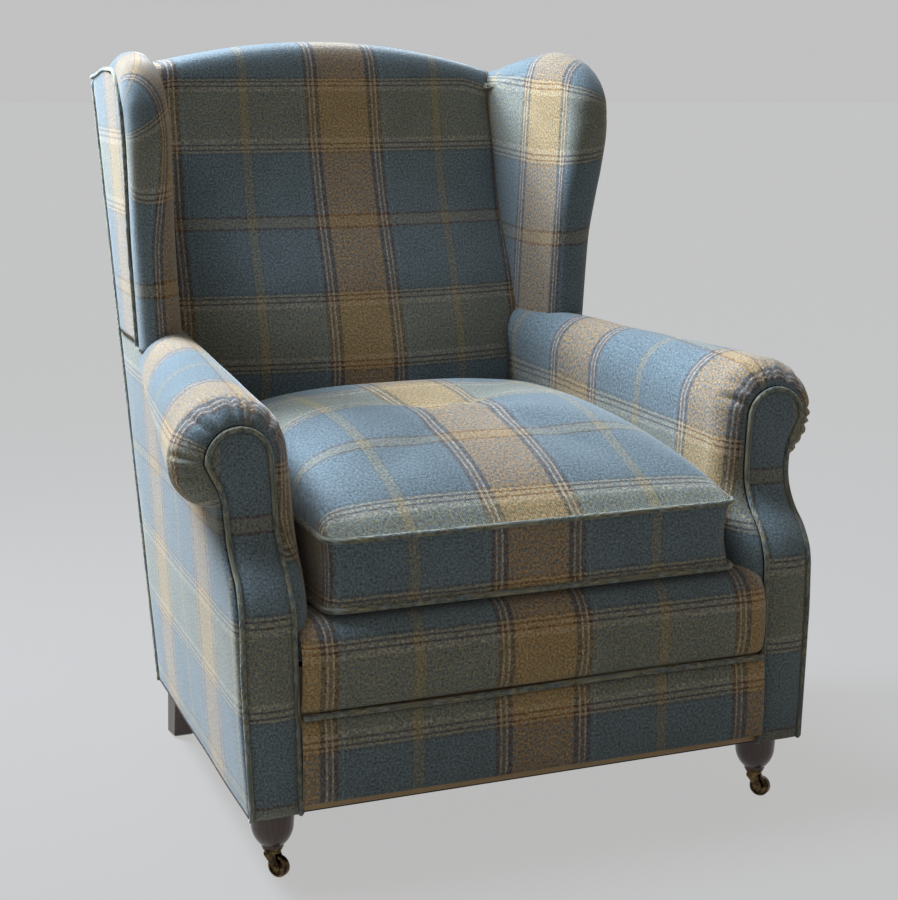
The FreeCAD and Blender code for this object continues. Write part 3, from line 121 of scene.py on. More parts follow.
# Place on the plaid where the cords' cloth is cut, and how far it strays along a cord
CORD_CUT, CORD_STRAY = (108.0, 16.0), 30.0


# Meshes

def new_object(name, points, faces, weave=None, body="chair"):
    """Mesh from millimetre points; weave holds each point's place on the cloth."""
    points = np.asarray(points, float).reshape(-1, 3)
    mesh = bpy.data.meshes.new(name)
    mesh.from_pydata(((points + (0, FRONT, 0)) * 0.001).tolist(), [], [list(f) for f in faces])
    if weave is not None:
        set_weave(mesh, weave)
    mesh.shade_smooth()
    piece = bpy.data.objects.new(name, mesh)
    bpy.context.scene.collection.objects.link(piece)
    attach(piece, body)
    return piece


def set_weave(mesh, weave):
    """Places on the cloth in metres: across the warp, then along it."""
    flat = np.zeros((len(mesh.vertices), 3), np.float32)
    flat[:, :2] = np.asarray(weave, float).reshape(-1, 2) * 0.001
    layer = mesh.attributes.new("weave", "FLOAT_VECTOR", "POINT")
    layer.data.foreach_set("vector", flat.ravel())


def sheet_faces(rows, cols, ring_rows=False, ring_cols=False):
    """Quads of a grid whose rows or columns may close on themselves."""
    faces = []
    for i in range(rows if ring_rows else rows - 1):
        k = (i + 1) % rows
        for j in range(cols if ring_cols else cols - 1):
            m = (j + 1) % cols
            faces.append((i * cols + j, i * cols + m, k * cols + m, k * cols + j))
    return faces


def end_faces(rows, cols):
    """Faces that close the first and last of a grid's rings."""
    return [tuple(reversed(range(cols))), tuple((rows - 1) * cols + j for j in range(cols))]


def cover(name, points, weave, outward, thick=4.0, body="chair"):
    """Cloth cover from a grid of points, with its thickness on the inner side.

    outward is the way the middle of the grid faces."""
    points = np.asarray(points, float)
    rows, cols = points.shape[:2]
    i, j = rows // 2, cols // 2
    normal = np.cross(points[i + 1, j] - points[i - 1, j], points[i, j + 1] - points[i, j - 1])
    faces = sheet_faces(rows, cols)
    if normal.dot(outward) > 0:
        faces = [tuple(reversed(face)) for face in faces]
    piece = new_object(name, points, faces, weave, body)
    shell = piece.modifiers.new("thickness", "SOLIDIFY")
    shell.thickness = thick * 0.001
    shell.offset = -1.0
    return piece


def both_sides(name, points, weave, outward, thick=4.0, left_weave=None):
    """The same cover on the right and, mirrored, on the left, where its cloth may lie otherwise."""
    flip = np.array([-1.0, 1.0, 1.0])
    other = weave if left_weave is None else left_weave
    return [cover(name + "_right", points, weave, outward, thick),
            cover(name + "_left", points * flip, other, np.array(outward) * flip, thick)]


def cord(name, path, radius=4.0, sides=12, closed=False, body="chair"):
    """Piping cord along a path, covered in the wool where its olive weft crosses blue."""
    path = np.asarray(path, float)
    count = len(path)
    if closed:
        along = np.roll(path, -1, 0) - np.roll(path, 1, 0)
    else:
        along = np.gradient(path, axis=0)
    along /= np.linalg.norm(along, axis=1)[:, None]
    across = np.zeros_like(path)
    guide = np.array([0.0, 0.0, 1.0]) if abs(along[0][2]) < 0.9 else np.array([0.0, 1.0, 0.0])
    for i in range(count):
        guide = guide - along[i] * guide.dot(along[i])
        guide /= np.linalg.norm(guide)
        across[i] = guide
    up = np.cross(along, across)
    angle = np.arange(sides) * 2 * math.pi / sides
    ring = path[:, None] + radius * (np.cos(angle)[None, :, None] * across[:, None]
                                     + np.sin(angle)[None, :, None] * up[:, None])
    length = np.repeat(lengths(path)[:, None], sides, 1)
    round_it = np.tile(angle * radius, (count, 1))
    weave = np.stack([CORD_CUT[0] + CORD_STRAY * np.sin(length / 90.0),
                      CORD_CUT[1] + 0.5 * round_it], -1)
    faces = sheet_faces(count, sides, ring_rows=closed, ring_cols=True)
    if not closed:
        faces += end_faces(count, sides)
    return new_object(name, ring, faces, weave, body)


def resample(path, spacing, closed=False):
    """Points at even steps along a path."""
    path = np.asarray(path, float)
    if closed:
        path = np.vstack([path, path[:1]])
    total = lengths(path)[-1]
    count = max(4, int(round(total / spacing)))
    even = straight(path, np.linspace(0, total, count + 1))
    return even[:-1] if closed else even


def through(points, count):
    """Smooth curve through points, at even steps."""
    knots = lengths(np.asarray(points, float))
    curve = smooth(points, knots, np.linspace(0, knots[-1], 12 * len(points)))
    return straight(curve, np.linspace(0, lengths(curve)[-1], count))


def running(points, axis):
    """Distance along a grid's rows or columns from its first line."""
    steps = np.linalg.norm(np.diff(points, axis=axis), axis=2)
    zero = np.zeros_like(np.take(steps, [0], axis))
    return np.concatenate([zero, np.cumsum(steps, axis)], axis)


def unevenness(a, b, seed):
    """Gentle uneven waves over a surface, between -1 and 1."""
    return (np.sin(a / 61.0 + b / 83.0 + seed) + np.sin(a / 37.0 - b / 47.0 + 2.3 * seed)
            + np.sin(a / 97.0 - b / 29.0 + 1.7 * seed)) / 3.0


# Arm front: outline of the facing

SCROLL_X, SCROLL_Z, SCROLL = 388.0, 527.0, 45.0
INNER_EDGE = [(89, 331), (158, 333), (229, 335), (300, 337), (350, 338), (440, 338.5), (500, 341),
              (527, 343)]
OUTER_EDGE = [(89, 404), (113, 405), (154, 407), (221, 410), (289, 412.5), (352, 412.5),
              (395, 410), (437, 409.5), (471, 411), (491, 415), (511, 425), (527, 433)]


def facing_cover():
    """Padded panel on the arm front, full between its cords."""
    foot, inset, depth, crown = 90, 5.0, 7.0, 1.5
    low = np.linspace(foot, SCROLL_Z, 62)
    bend = np.linspace(0, 0.5 * math.pi, 15)[1:]
    rows, places = [], []
    across = np.linspace(0, 1, 19)
    across = across - 0.06 * np.sin(2 * math.pi * across)
    for z in low:
        rows.append((follow(INNER_EDGE, z) + inset, follow(OUTER_EDGE, z) - inset, z))
    for angle in bend:
        half = (SCROLL - inset) * math.cos(angle)
        rows.append((SCROLL_X - half, SCROLL_X + half, SCROLL_Z + (SCROLL - inset) * math.sin(angle)))
    points = np.zeros((len(rows), len(across), 3))
    middle = len(across) // 2
    length = 0.0
    for i, (inner, outer, z) in enumerate(rows):
        x = inner + (outer - inner) * across
        half = 0.5 * (outer - inner)
        edge = np.minimum(x - inner, outer - x)
        edge = np.minimum(edge, max(rows[-1][2] - z, 0.0))
        edge = np.minimum(edge, z - foot + 2)
        puff = depth * (1 - np.exp(-np.maximum(edge, 0) / 9.0))
        puff = puff + crown * (1 - ((x - inner - half) / max(half, 1)) ** 2)
        points[i, :, 0] = x
        points[i, :, 1] = front_curve(z) + 5.0 - puff + 0.5 * unevenness(x * 2, z, 2.0)
        points[i, :, 2] = z
        if i:
            length += float(np.linalg.norm(points[i, middle, 1:] - points[i - 1, middle, 1:]))
        places.append(length)
    weave = np.zeros(points.shape[:2] + (2,))
    stripe, stripe_cut = 371.0, 110.0
    weave[..., 0] = points[..., 0] - stripe + stripe_cut
    weave[..., 1] = (np.array(places)[:, None] + foot - LOW_WEFT) / STRETCH
    return both_sides("arm_facing_cover", points, weave, (0, -1, 0), 3.0)


def facing_outline(inset):
    """Closed outline of the arm front, drawn in by an inset."""
    up = np.linspace(93, SCROLL_Z, 70)
    inner = np.stack([follow(INNER_EDGE, up) + inset, up], 1)
    turn = np.linspace(math.pi, 0, 40)[1:-1]
    top = np.stack([SCROLL_X + (SCROLL - inset) * np.cos(turn),
                    SCROLL_Z + (SCROLL - inset) * np.sin(turn)], 1)
    down = up[::-1]
    outer = np.stack([follow(OUTER_EDGE, down) - inset, down], 1)
    outline = np.vstack([inner, top, outer])
    return np.stack([outline[:, 0], front_curve(outline[:, 1]), outline[:, 1]], 1)


def facing_cords():
    """Piping round both arm fronts, its ends tucked in under the frame."""
    path = resample(facing_outline(4.0) + (0, 2.0, 0), 5.0)
    path = np.vstack([path[0] + (0, 3.0, -3.0), path, path[-1] + (0, 3.0, -3.0)])
    return [cord("arm_facing_cord_right", path, 3.5),
            cord("arm_facing_cord_left", path * (-1, 1, 1), 3.5)]


# Arms

ROLL_START, ROLL_END = 108.0, 600.0
ARM_LOW = 284.0
# The roll's half width, rise, and the height of the seam under it, in front and behind
ROLL_HALF, TAIL_HALF = 77.0, 45.0
ROLL_RISE, TAIL_RISE = 80.0, 50.0
NECK_Z, TAIL_NECK_Z = 466.0, 573.0
TAIL_Z = 581.0
# Points of a section up the inner wall, over the roll and in under it
WALL_POINTS, OVER_POINTS, UNDER_POINTS = 33, 91, 16
GATHERED_ROWS = 21


def arm_wall_x(y):
    """Inner side of the arm at a depth."""
    return 300.0 - SEAT_TAPER * (y - ROLL_START)


def arm_outline(centre, across, rise, wall, neck):
    """Section across the arm: up the inner wall, over the roll and in under it."""
    cx, cz = centre
    up = np.linspace(0, 1, WALL_POINTS + 1)[:-1]
    z = ARM_LOW + (cz - ARM_LOW) * up
    inner = np.stack([wall + (cx - across - wall) * up - 3.0 * np.sin(math.pi * up), z], 1)
    turn = np.linspace(math.pi, 0, OVER_POINTS)
    over = np.stack([cx + across * np.cos(turn), cz + rise * np.sin(turn)], 1)
    turn = np.linspace(0, 0.5 * math.pi, UNDER_POINTS + 1)[1:]
    under = np.stack([neck[0] + (cx + across - neck[0]) * np.cos(turn),
                      neck[1] + (cz - neck[1]) * (1 - np.sin(turn))], 1)
    return np.vstack([inner, over, under])


def arm_at(y):
    """Section of the arm behind its rounded front."""
    share = min((y - ROLL_START) / (ROLL_END - ROLL_START), 1.0)
    tail_x = side_x(ROLL_END, TAIL_Z) - TAIL_HALF
    cx = SCROLL_X + (tail_x - SCROLL_X) * share
    if y > ROLL_END:
        cx = side_x(y, TAIL_Z) - TAIL_HALF
    cz = SCROLL_Z + (TAIL_Z - SCROLL_Z) * share
    neck_z = NECK_Z + (TAIL_NECK_Z - NECK_Z) * share
    return arm_outline((cx, cz), ROLL_HALF - (ROLL_HALF - TAIL_HALF) * share,
                       ROLL_RISE - (ROLL_RISE - TAIL_RISE) * share, arm_wall_x(y),
                       (side_x(y, neck_z), neck_z))


def scroll_outline():
    """Edge of the arm's cover along the facing, point for point with a section."""
    up = np.linspace(0, 1, WALL_POINTS + 1)[:-1]
    z = ARM_LOW + (SCROLL_Z - ARM_LOW) * up
    inner = np.stack([follow(INNER_EDGE, z), z], 1)
    turn = np.linspace(math.pi, 0, OVER_POINTS)
    over = np.stack([SCROLL_X + SCROLL * np.cos(turn), SCROLL_Z + SCROLL * np.sin(turn)], 1)
    z = np.linspace(SCROLL_Z, NECK_Z, UNDER_POINTS + 1)[1:]
    under = np.stack([follow(OUTER_EDGE, z), z], 1)
    return np.vstack([inner, over, under])


def scroll_creases(edge):
    """Depth of the gathers round the scroll, from 0 to 1, at the points of its edge."""
    around = np.arctan2(edge[:, 1] - SCROLL_Z, edge[:, 0] - SCROLL_X)
    around[:WALL_POINTS] = math.pi
    pleat = around * 9 / math.pi + 0.5 * np.sin(3.1 * around + 1.0) + 0.25 * np.sin(7.3 * around)
    crease = np.abs(pleat - np.floor(pleat) - 0.5) * 2
    plain = WALL_POINTS - 7
    crease[:plain] = 0
    crease[plain:WALL_POINTS] *= np.linspace(0, 1, 7)
    return crease ** 2


def arm_weaves(points):
    """Places on the cloth of the right arm's cover and of the left one's."""
    top = WALL_POINTS + OVER_POINTS // 2
    length = running(points, 0)
    place = length - length[GATHERED_ROWS] + ROLL_START
    round_it = running(points, 1)
    round_it = round_it - round_it[:, top:top + 1]
    round_it[:GATHERED_ROWS] = round_it[GATHERED_ROWS]
    # On the right the double line and the single line drift apart from the roll's top
    double = -144.0 + 0.085 * (place - 200.0)
    single = -5.0 + 0.17 * (place - 200.0)
    between = (round_it - double) / (single - double)
    along = np.where(round_it < double, double - round_it - DOUBLE_LINE,
                     -DOUBLE_LINE - (SINGLE_LINE - DOUBLE_LINE) * between)
    beyond = round_it > single
    along[beyond] = (-SINGLE_LINE - round_it + single)[beyond]
    right_band, left_band = 115.0, 133.0
    right = np.stack([place - right_band, along], -1)
    slant = 0.12 * round_it
    left = np.stack([(place - left_band - slant) * 0.958, -round_it - 188.0], -1)
    return right, left


def arm_cover():
    """Inner arm and roll, gathered round the scroll."""
    edge, full = scroll_outline(), arm_at(ROLL_START)
    start = front_curve(edge[:, 1]) + 6.0
    crease = scroll_creases(edge)
    away = full - edge
    away = away / np.linalg.norm(away, axis=1)[:, None]
    grid = []
    for turn in np.linspace(0, 0.5 * math.pi, GATHERED_ROWS + 1)[:-1]:
        flat = edge + (full - edge) * math.sin(turn)
        y = start + (ROLL_START - start) * (1 - math.cos(turn))
        deep = 7.0 * max(math.sin(min(turn * 2.1, math.pi)), 0.0) ** 1.1
        flat = flat - away * (deep * crease)[:, None]
        grid.append(np.stack([flat[:, 0], y, flat[:, 1]], 1))
    for y in np.concatenate([np.linspace(ROLL_START, ROLL_END, 42), [622.0, 648.0]]):
        flat = arm_at(y)
        grid.append(np.stack([flat[:, 0], np.full(len(flat), y), flat[:, 1]], 1))
    points = np.array(grid)
    swell = unevenness(points[..., 1] * 1.5, running(points, 1), 4.0)[GATHERED_ROWS:]
    points[GATHERED_ROWS:, :, 2] += 1.2 * swell
    points[GATHERED_ROWS:, :, 0] += 0.8 * swell
    right, left = arm_weaves(points)
    return both_sides("arm_cover", points, right, (-1, 0, 1), 5.0, left)


# Wings

WING_EDGE = [(529, 600), (528, 670), (526, 735), (515, 800), (504, 850), (497, 905), (501, 945),
             (521, 983), (560, 1010), (612, 1022), (680, 1013), (760, 996), (812, 986)]
WING_CREASE = [(656, 596), (678, 650), (700, 715), (719, 775), (736, 830), (750, 880), (760, 915),
               (768, 938), (777, 950), (787, 957), (796, 960), (805, 961), (814, 962)]
WING_THICK = 62.0
WING_ROUND = 31.0
# How far in from the wing's front edge its cover reaches on the outside
WING_REACH = 58.0
# Rows of the cover on the inner side, and round the edge
WING_INNER_ROWS, WING_EDGE_ROWS = 25, 22
# Height of the olive band on the outside of the wings
OUTER_WING_WEFT = 853.0


def wing_cover():
    """Wing from its crease with the back, round its front edge to the seam outside."""
    count = 96
    knots = lengths(np.array(WING_EDGE, float))
    fine = np.linspace(0, knots[-1], count)
    line, line_in = smooth(WING_EDGE, knots, fine), smooth(WING_CREASE, knots, fine)
    way = np.gradient(line, axis=0)
    way /= np.linalg.norm(way, axis=1)[:, None]
    inward = np.stack([way[:, 1], -way[:, 0]], 1)
    for _ in range(6):
        inward[1:-1] = 0.5 * inward[1:-1] + 0.25 * (inward[:-2] + inward[2:])
    inward /= np.linalg.norm(inward, axis=1)[:, None]
    narrow = np.clip(np.linalg.norm(line_in - line, axis=1) / 60.0, 0.3, 1.0)
    rounding = WING_ROUND * narrow
    near = line + inward * rounding[:, None]
    grid, places = [], []
    for share in np.linspace(1, 0, WING_INNER_ROWS + 1)[:-1]:
        flat = near + (line_in - near) * share
        tuck = np.clip((share - 0.84) / 0.16, 0, 1)
        crown = 4.0 * math.sin(math.pi * min(share * 1.1, 1))
        w = WING_THICK + crown - 12.0 * (1 - math.sqrt(1 - 0.98 * tuck**2))
        grid.append(np.column_stack([flat, np.full(count, w)]))
        places.append(flat)
    for angle in np.linspace(0, math.pi, WING_EDGE_ROWS):
        flat = line + inward * (rounding * (1 - math.sin(angle)))[:, None]
        w = 0.5 * WING_THICK * (1 + math.cos(angle))
        grid.append(np.column_stack([flat, np.full(count, w)]))
        places.append(line + inward * (rounding * (1 - 1.4 * angle))[:, None])
    for share in np.linspace(0, 1, 5)[1:]:
        reach = (WING_REACH - rounding) * share
        flat = line + inward * (rounding + reach)[:, None]
        grid.append(np.column_stack([flat, np.full(count, -0.5 + 4.0 * share ** 3)]))
        places.append(line + inward * (rounding * (1 - 1.4 * math.pi) - reach)[:, None])
    grid, places = np.array(grid), np.array(places)
    pleat = fine / 17.0 + 0.4 * np.sin(fine / 31.0)
    dent = np.abs(pleat - np.floor(pleat) - 0.5) * 2
    gathered = ease(880, 940, line[:, 1]) * (1 - ease(560, 640, line[:, 0]))
    for step in range(WING_EDGE_ROWS):
        angle = step / (WING_EDGE_ROWS - 1) * math.pi
        deep = 2.6 * math.sin(angle) ** 2 * gathered * dent ** 3
        grid[WING_INNER_ROWS + step, :, :2] += inward * deep[:, None]
    x = side_x(grid[..., 0], grid[..., 1]) - grid[..., 2]
    points = np.stack([x, grid[..., 0], grid[..., 1]], -1)
    y, z = places[..., 0], places[..., 1]
    inner = np.clip(grid[..., 2] / WING_THICK, 0, 1)
    # Depth of the beige band and height of the olive one on the inner side of each wing
    right_band, right_weft, left_band, left_weft = 583.0, 916.0, 538.0, 887.0
    right = np.stack([(right_band - y) * 1.09,
                      (z - right_weft - 0.1 * np.maximum(y - 600.0, 0)) * 0.945], -1)
    left = np.stack([left_band - y,
                     inner * (z - left_weft) * 0.86 + (1 - inner) * (z - OUTER_WING_WEFT)], -1)
    return both_sides("wing_cover", points, right, (-1, 0, 0), 5.0, left)


# Inside and outside back

BACK_HIGH, BACK_ARCH = 1038.0, 45.0
BACK_COLUMNS = 97
# Place along the warp at a height of the inside back
BACK_WEFT = [(332, -610), (563, -385), (660, -281), (770, -166.5), (880, -52), (936, 6.5)]


def back_top(share):
    """Height of the arched top at a share of the half width."""
    return BACK_HIGH - BACK_ARCH * share**2


def back_cover():
    """Crowned inside back, over the arched top to its seam behind."""
    columns = np.linspace(-1, 1, BACK_COLUMNS)
    lines = []
    for share in columns:
        high = back_top(share)
        back = 42.0 * share**2
        profile = [
            (560 + back, 332), (560 + back, 430), (561 + back, 535), (603 + 0.97 * back, 665),
            (660 + 0.9 * back, 790), (700 + 0.6 * back, 895), (722 + 0.4 * back, high - 60),
            (735 + 0.25 * back, high - 22), (750 + 0.1 * back, high - 5), (772, high),
            (798, high - 4), (816, high - 14), (824, high - 30),
        ]
        lines.append(through(profile, 110))
    flat = np.array(lines).transpose(1, 0, 2)
    y, z = flat[..., 0], flat[..., 1]
    wing_side = side_x(y, z) - WING_THICK + 14.0
    arm_side = arm_wall_x(y) + 4.0
    half = np.where(z < 560, arm_side, arm_side + (wing_side - arm_side) * ease(560, 650, z))
    half = half + (side_x(y, z) - 2.0 - half) * ease(772, 812, y)
    x = half * columns[None, :]
    edge = half - np.abs(x)
    roll = np.clip(1 - edge / 34.0, 0, 1)
    in_front = 1 - ease(745, 775, y)
    y = y + in_front * 17.0 * (1 - np.sqrt(1 - 0.98 * roll**2))
    y = y - 2.0 * in_front * unevenness(x * 0.8, z * 0.8, 1.0) * np.clip(edge / 60.0, 0, 1)
    points = np.stack([x, y, z], -1)
    last_place, last = BACK_WEFT[-1]
    length = running(points, 0)
    # The rows that still climb, before the cloth turns over the top
    rising = slice(0, 88)
    at_last = np.array([np.interp(last_place, z[rising, j], length[rising, j])
                        for j in range(BACK_COLUMNS)])
    weave = np.zeros(points.shape[:2] + (2,))
    weave[..., 0] = x - 5.0 - 0.058 * (np.minimum(z, 1000.0) - 600.0)
    weave[..., 1] = np.where(length > at_last, last + (length - at_last) * STRETCH,
                             follow(BACK_WEFT, z))
    return cover("inside_back_cover", points, weave, (0, -1, 0), 5.0)


def outside_back_cover():
    """Flat panel closing the back from the base to the seam behind the arched top."""
    up = np.linspace(0, 1, 60)
    columns = np.linspace(-1, 1, 61)
    high = back_top(columns) - 26.0
    z = 90.0 + (high[None, :] - 90.0) * up[:, None]
    y = rear_y(z)
    half = side_x(y, z) - 2.0
    x = half * columns[None, :]
    full = 4.0 * (1 - columns[None, :] ** 6) * (1 - (2 * up[:, None] - 1) ** 6)
    points = np.stack([x, y - 1.0 + full + 0.6 * unevenness(x, z, 3.0), z], -1)
    weave = np.stack([x, z - 890.0], -1)
    return cover("outside_back_cover", points, weave, (0, 1, 0), 4.0)


# Outside arm and wing

def outside_arm_cover():
    """Cloth over the side panel, from the facing to the back and up under the roll."""
    across = np.linspace(0, 1, 70)
    up = np.linspace(0, 1, 66)
    high = follow([(0, 515), (0.1, 535), (0.7, 590), (0.86, 613), (1, 613)], across)
    z = 90.0 + (high[None, :] - 90.0) * up[:, None]
    near = front_curve(z) + 6.0
    y = near + (rear_y(z) - near) * across[None, :]
    full = 3.5 * (1 - (2 * across[None, :] - 1) ** 8) * (1 - (2 * up[:, None] - 1) ** 8)
    tuck = 3.0 * np.clip(1 - (y - near) / 10.0, 0, 1) ** 2
    x = side_x(y, z) - 1.0 + full - tuck + 0.8 * unevenness(y, z, 5.0)
    points = np.stack([x, y, z], -1)
    weave = np.stack([y - 188.0, z - LOW_WEFT], -1)
    return both_sides("outside_arm_cover", points, weave, (1, 0, 0), 4.0)


def wing_seam(z):
    """Depth of the seam between a wing and its outside panel at a height."""
    return follow([(612, 585), (735, 584), (800, 573), (850, 562), (905, 555), (945, 558), (975, 575),
                   (992, 612)], z)


def outside_wing_cover():
    """Panel on the outside of a wing, from its seam to the back."""
    across = np.linspace(0, 1, 34)
    up = np.linspace(0, 1, 50)
    high = follow([(0, 980), (0.12, 992), (0.3, 996), (1, 984)], across)
    low = 611.0
    z = low + (high[None, :] - low) * up[:, None]
    near = wing_seam(z)
    y = near + (rear_y(z) - near) * across[None, :]
    full = 3.0 * (1 - (2 * across[None, :] - 1) ** 6)
    points = np.stack([side_x(y, z) - 1.0 + full, y, z], -1)
    weave = np.stack([y - 640.0, z - OUTER_WING_WEFT], -1)
    return both_sides("outside_wing_cover", points, weave, (1, 0, 0), 4.0)


def outside_cords():
    """Piping on the outside wing seam and round the outside back."""
    seam = [(585, 606), (585, 735), (573, 800), (562, 850), (555, 905), (558, 945), (575, 978),
            (612, 996), (680, 997), (760, 989), (815, 985)]
    line = through(seam, 130)
    x = side_x(line[:, 0], line[:, 1]) + 1.0
    path = np.column_stack([x, line])
    pieces = [cord("wing_cord_right", path, 3.2), cord("wing_cord_left", path * (-1, 1, 1), 3.2)]
    z = np.linspace(90.0, 982.0, 120)
    y = rear_y(z)
    up = np.column_stack([side_x(y, z) - 1.0, y + 1.0, z])
    share = np.linspace(0.985, -0.985, 90)
    top = back_top(share) - 24.0
    arch = np.column_stack([share * (side_x(rear_y(top), top) - 2.0), rear_y(top) + 1.0, top])
    path = resample(np.vstack([up, arch, (up * (-1, 1, 1))[::-1]]), 7.0)
    pieces.append(cord("outside_back_cord", path, 3.6))
    return pieces


# Seat front

FRONT_HALF = 335
# The front panels' beige band lies this far left of the middle
FRONT_BAND = 3.0


def seat_lip_cover():
    """Padded roll along the front of the seat."""
    profile = through([(6, 217), (-4, 220), (-11, 234), (-14.5, 262), (-14, 285), (-8, 310), (6, 327),
                       (28, 334.5), (60, 336), (84, 336)], 46)
    x = np.linspace(-FRONT_HALF, FRONT_HALF, 111)
    edge = np.clip(1 - (FRONT_HALF - np.abs(x)) / 26.0, 0, 1)
    points = np.zeros((len(profile), len(x), 3))
    points[..., 0] = x
    points[..., 1] = profile[:, None, 0] + 9.0 * (1 - np.sqrt(1 - 0.98 * edge**2))[None, :]
    points[..., 1] += 1.3 * unevenness(x[None, :], profile[:, None, 1] * 2, 6.0)
    points[..., 2] = profile[:, None, 1]
    length = lengths(profile)
    line = np.interp(300.0, profile[:30, 1], length[:30])
    weave = np.zeros(points.shape[:2] + (2,))
    weave[..., 0] = (x + FRONT_BAND) / STRETCH
    weave[..., 1] = 52.0 + (length[:, None] - line) / STRETCH
    return cover("seat_lip_cover", points, weave, (0, -1, 0), 5.0)


def border_cover():
    """Lower border across the front rail."""
    profile = through([(9, 102), (0, 101), (-5.5, 104), (-8, 120), (-8.5, 155), (-7.5, 190), (-5, 206),
                       (2, 212)], 30)
    x = np.linspace(-FRONT_HALF, FRONT_HALF, 97)
    points = np.zeros((len(profile), len(x), 3))
    points[..., 0] = x
    points[..., 1] = profile[:, None, 0] + 0.9 * unevenness(x[None, :] * 1.4, profile[:, None, 1], 7.0)
    points[..., 2] = profile[:, None, 1]
    weave = np.zeros(points.shape[:2] + (2,))
    weave[..., 0] = (x + FRONT_BAND) / STRETCH
    weave[..., 1] = (profile[:, None, 1] - 177.0) / STRETCH - 52.0
    return cover("front_border_cover", points, weave, (0, -1, 0), 4.0)


def border_cord():
    """Piping along the upper edge of the border."""
    x = np.linspace(-333, 333, 96)
    path = np.stack([x, -6.0 + 0.5 * np.sin(x / 57.0), 214.0 + 0.8 * np.sin(x / 83.0)], 1)
    return cord("front_border_cord", path)


# Loose seat cushion

CUSHION_FRONT, CUSHION_DEEP, CUSHION_HALF = 8.0, 540.0, 294.0
CUSHION_LOW, CUSHION_EDGE, CUSHION_RISE, CUSHION_CREST = 336.5, 92.0, 24.0, 219.0
# Rings of the underside, the border and the top
UNDER_RINGS, BORDER_RINGS, TOP_RINGS = 24, 11, 44
CUSHION_AROUND = 216
# Place along the warp behind the cushion's first double line, at a depth
CUSHION_WEFT = [(8, -40), (45, 0), (165, 113.5), (300, 227), (425, 333), (548, 440)]


def cushion_outline(grow=0.0, bend=26.0):
    """Rounded outline of the cushion, from the middle of its front, round to the right."""
    front, rear = CUSHION_FRONT - grow, CUSHION_FRONT + CUSHION_DEEP + grow
    wide = CUSHION_HALF + grow
    narrow = CUSHION_HALF + grow - SEAT_TAPER * CUSHION_DEEP
    corners = [(wide, front), (narrow, rear), (-narrow, rear), (-wide, front)]
    path = [(0.0, front)]
    for index, corner in enumerate(corners):
        corner = np.array(corner)
        before = np.array(corners[index - 1]) - corner
        after = np.array(corners[(index + 1) % 4]) - corner
        before, after = before / np.linalg.norm(before), after / np.linalg.norm(after)
        for t in np.linspace(0, 1, 13):
            reach = bend * ((1 - t) ** 2 * before + t**2 * after)
            path.append(tuple(corner + reach))
    return resample(path, 1.0, closed=True)


def even_outline(count, grow=0.0, bend=26.0):
    """The cushion's outline at a set number of even steps."""
    fine = cushion_outline(grow, bend)
    closed = np.vstack([fine, fine[:1]])
    total = lengths(closed)[-1]
    return straight(closed, np.linspace(0, total, count + 1)[:-1]), total


def seam_height(y):
    """Height of the cushion's upper seam at a depth."""
    return CUSHION_LOW + CUSHION_EDGE + CUSHION_RISE * (y - CUSHION_FRONT) / CUSHION_DEEP


def cushion_mesh():
    """Cushion as rings: underside, lower seam, border, upper seam and crowned top."""
    around = CUSHION_AROUND
    outline, length = even_outline(around)
    centre = np.array([0.0, CUSHION_FRONT + 0.5 * CUSHION_DEEP])
    fullness = [(0.0, 0.0), (0.04, 0.2), (0.16, 0.5), (0.4, 0.78), (0.68, 0.95), (0.84, 1.0),
                (0.95, 0.72), (1.0, 0.0)]
    rings, weave, kinds = [], [], []
    for shrink in np.linspace(0.03, 1, UNDER_RINGS):
        flat = centre + (outline - centre) * shrink
        z = CUSHION_LOW + 3.0 * shrink ** 6
        rings.append(np.column_stack([flat, np.full(around, z)]))
        weave.append(np.column_stack([flat[:, 0], flat[:, 1]]))
        kinds.append("under")
    distance = np.arange(around) * length / around
    distance = np.where(distance > 0.5 * length, distance - length, distance)
    for part in np.linspace(0, 1, BORDER_RINGS):
        pull = 1 - 0.018 * math.sin(math.pi * part)
        flat = centre + (outline - centre) * pull
        low = CUSHION_LOW + 3.0
        z = low + (seam_height(outline[:, 1]) - low) * part
        rings.append(np.column_stack([flat, z]))
        weave.append(np.column_stack([(distance + FRONT_BAND) / STRETCH,
                                      52.0 + (z - 347.0) / STRETCH]))
        kinds.append("border")
    for inward in np.linspace(0, 1, TOP_RINGS):
        flat = centre + (outline - centre) * (1 - 0.97 * inward ** 2)
        part = np.clip((flat[:, 1] - CUSHION_FRONT) / CUSHION_DEEP, 0, 1)
        wide = CUSHION_HALF - SEAT_TAPER * CUSHION_DEEP * part
        side = np.clip(1 - (flat[:, 0] / wide) ** 4, 0, 1) ** 0.25
        seam = seam_height(flat[:, 1])
        crown = (CUSHION_LOW + CUSHION_CREST - seam) * follow(fullness, part) * side
        rings.append(np.column_stack([flat, seam + crown]))
        weave.append(np.column_stack([(flat[:, 0] + FRONT_BAND) / STRETCH,
                                      -DOUBLE_LINE - follow(CUSHION_WEFT, flat[:, 1])]))
        kinds.append("top")
    return np.array(rings), np.array(weave), kinds


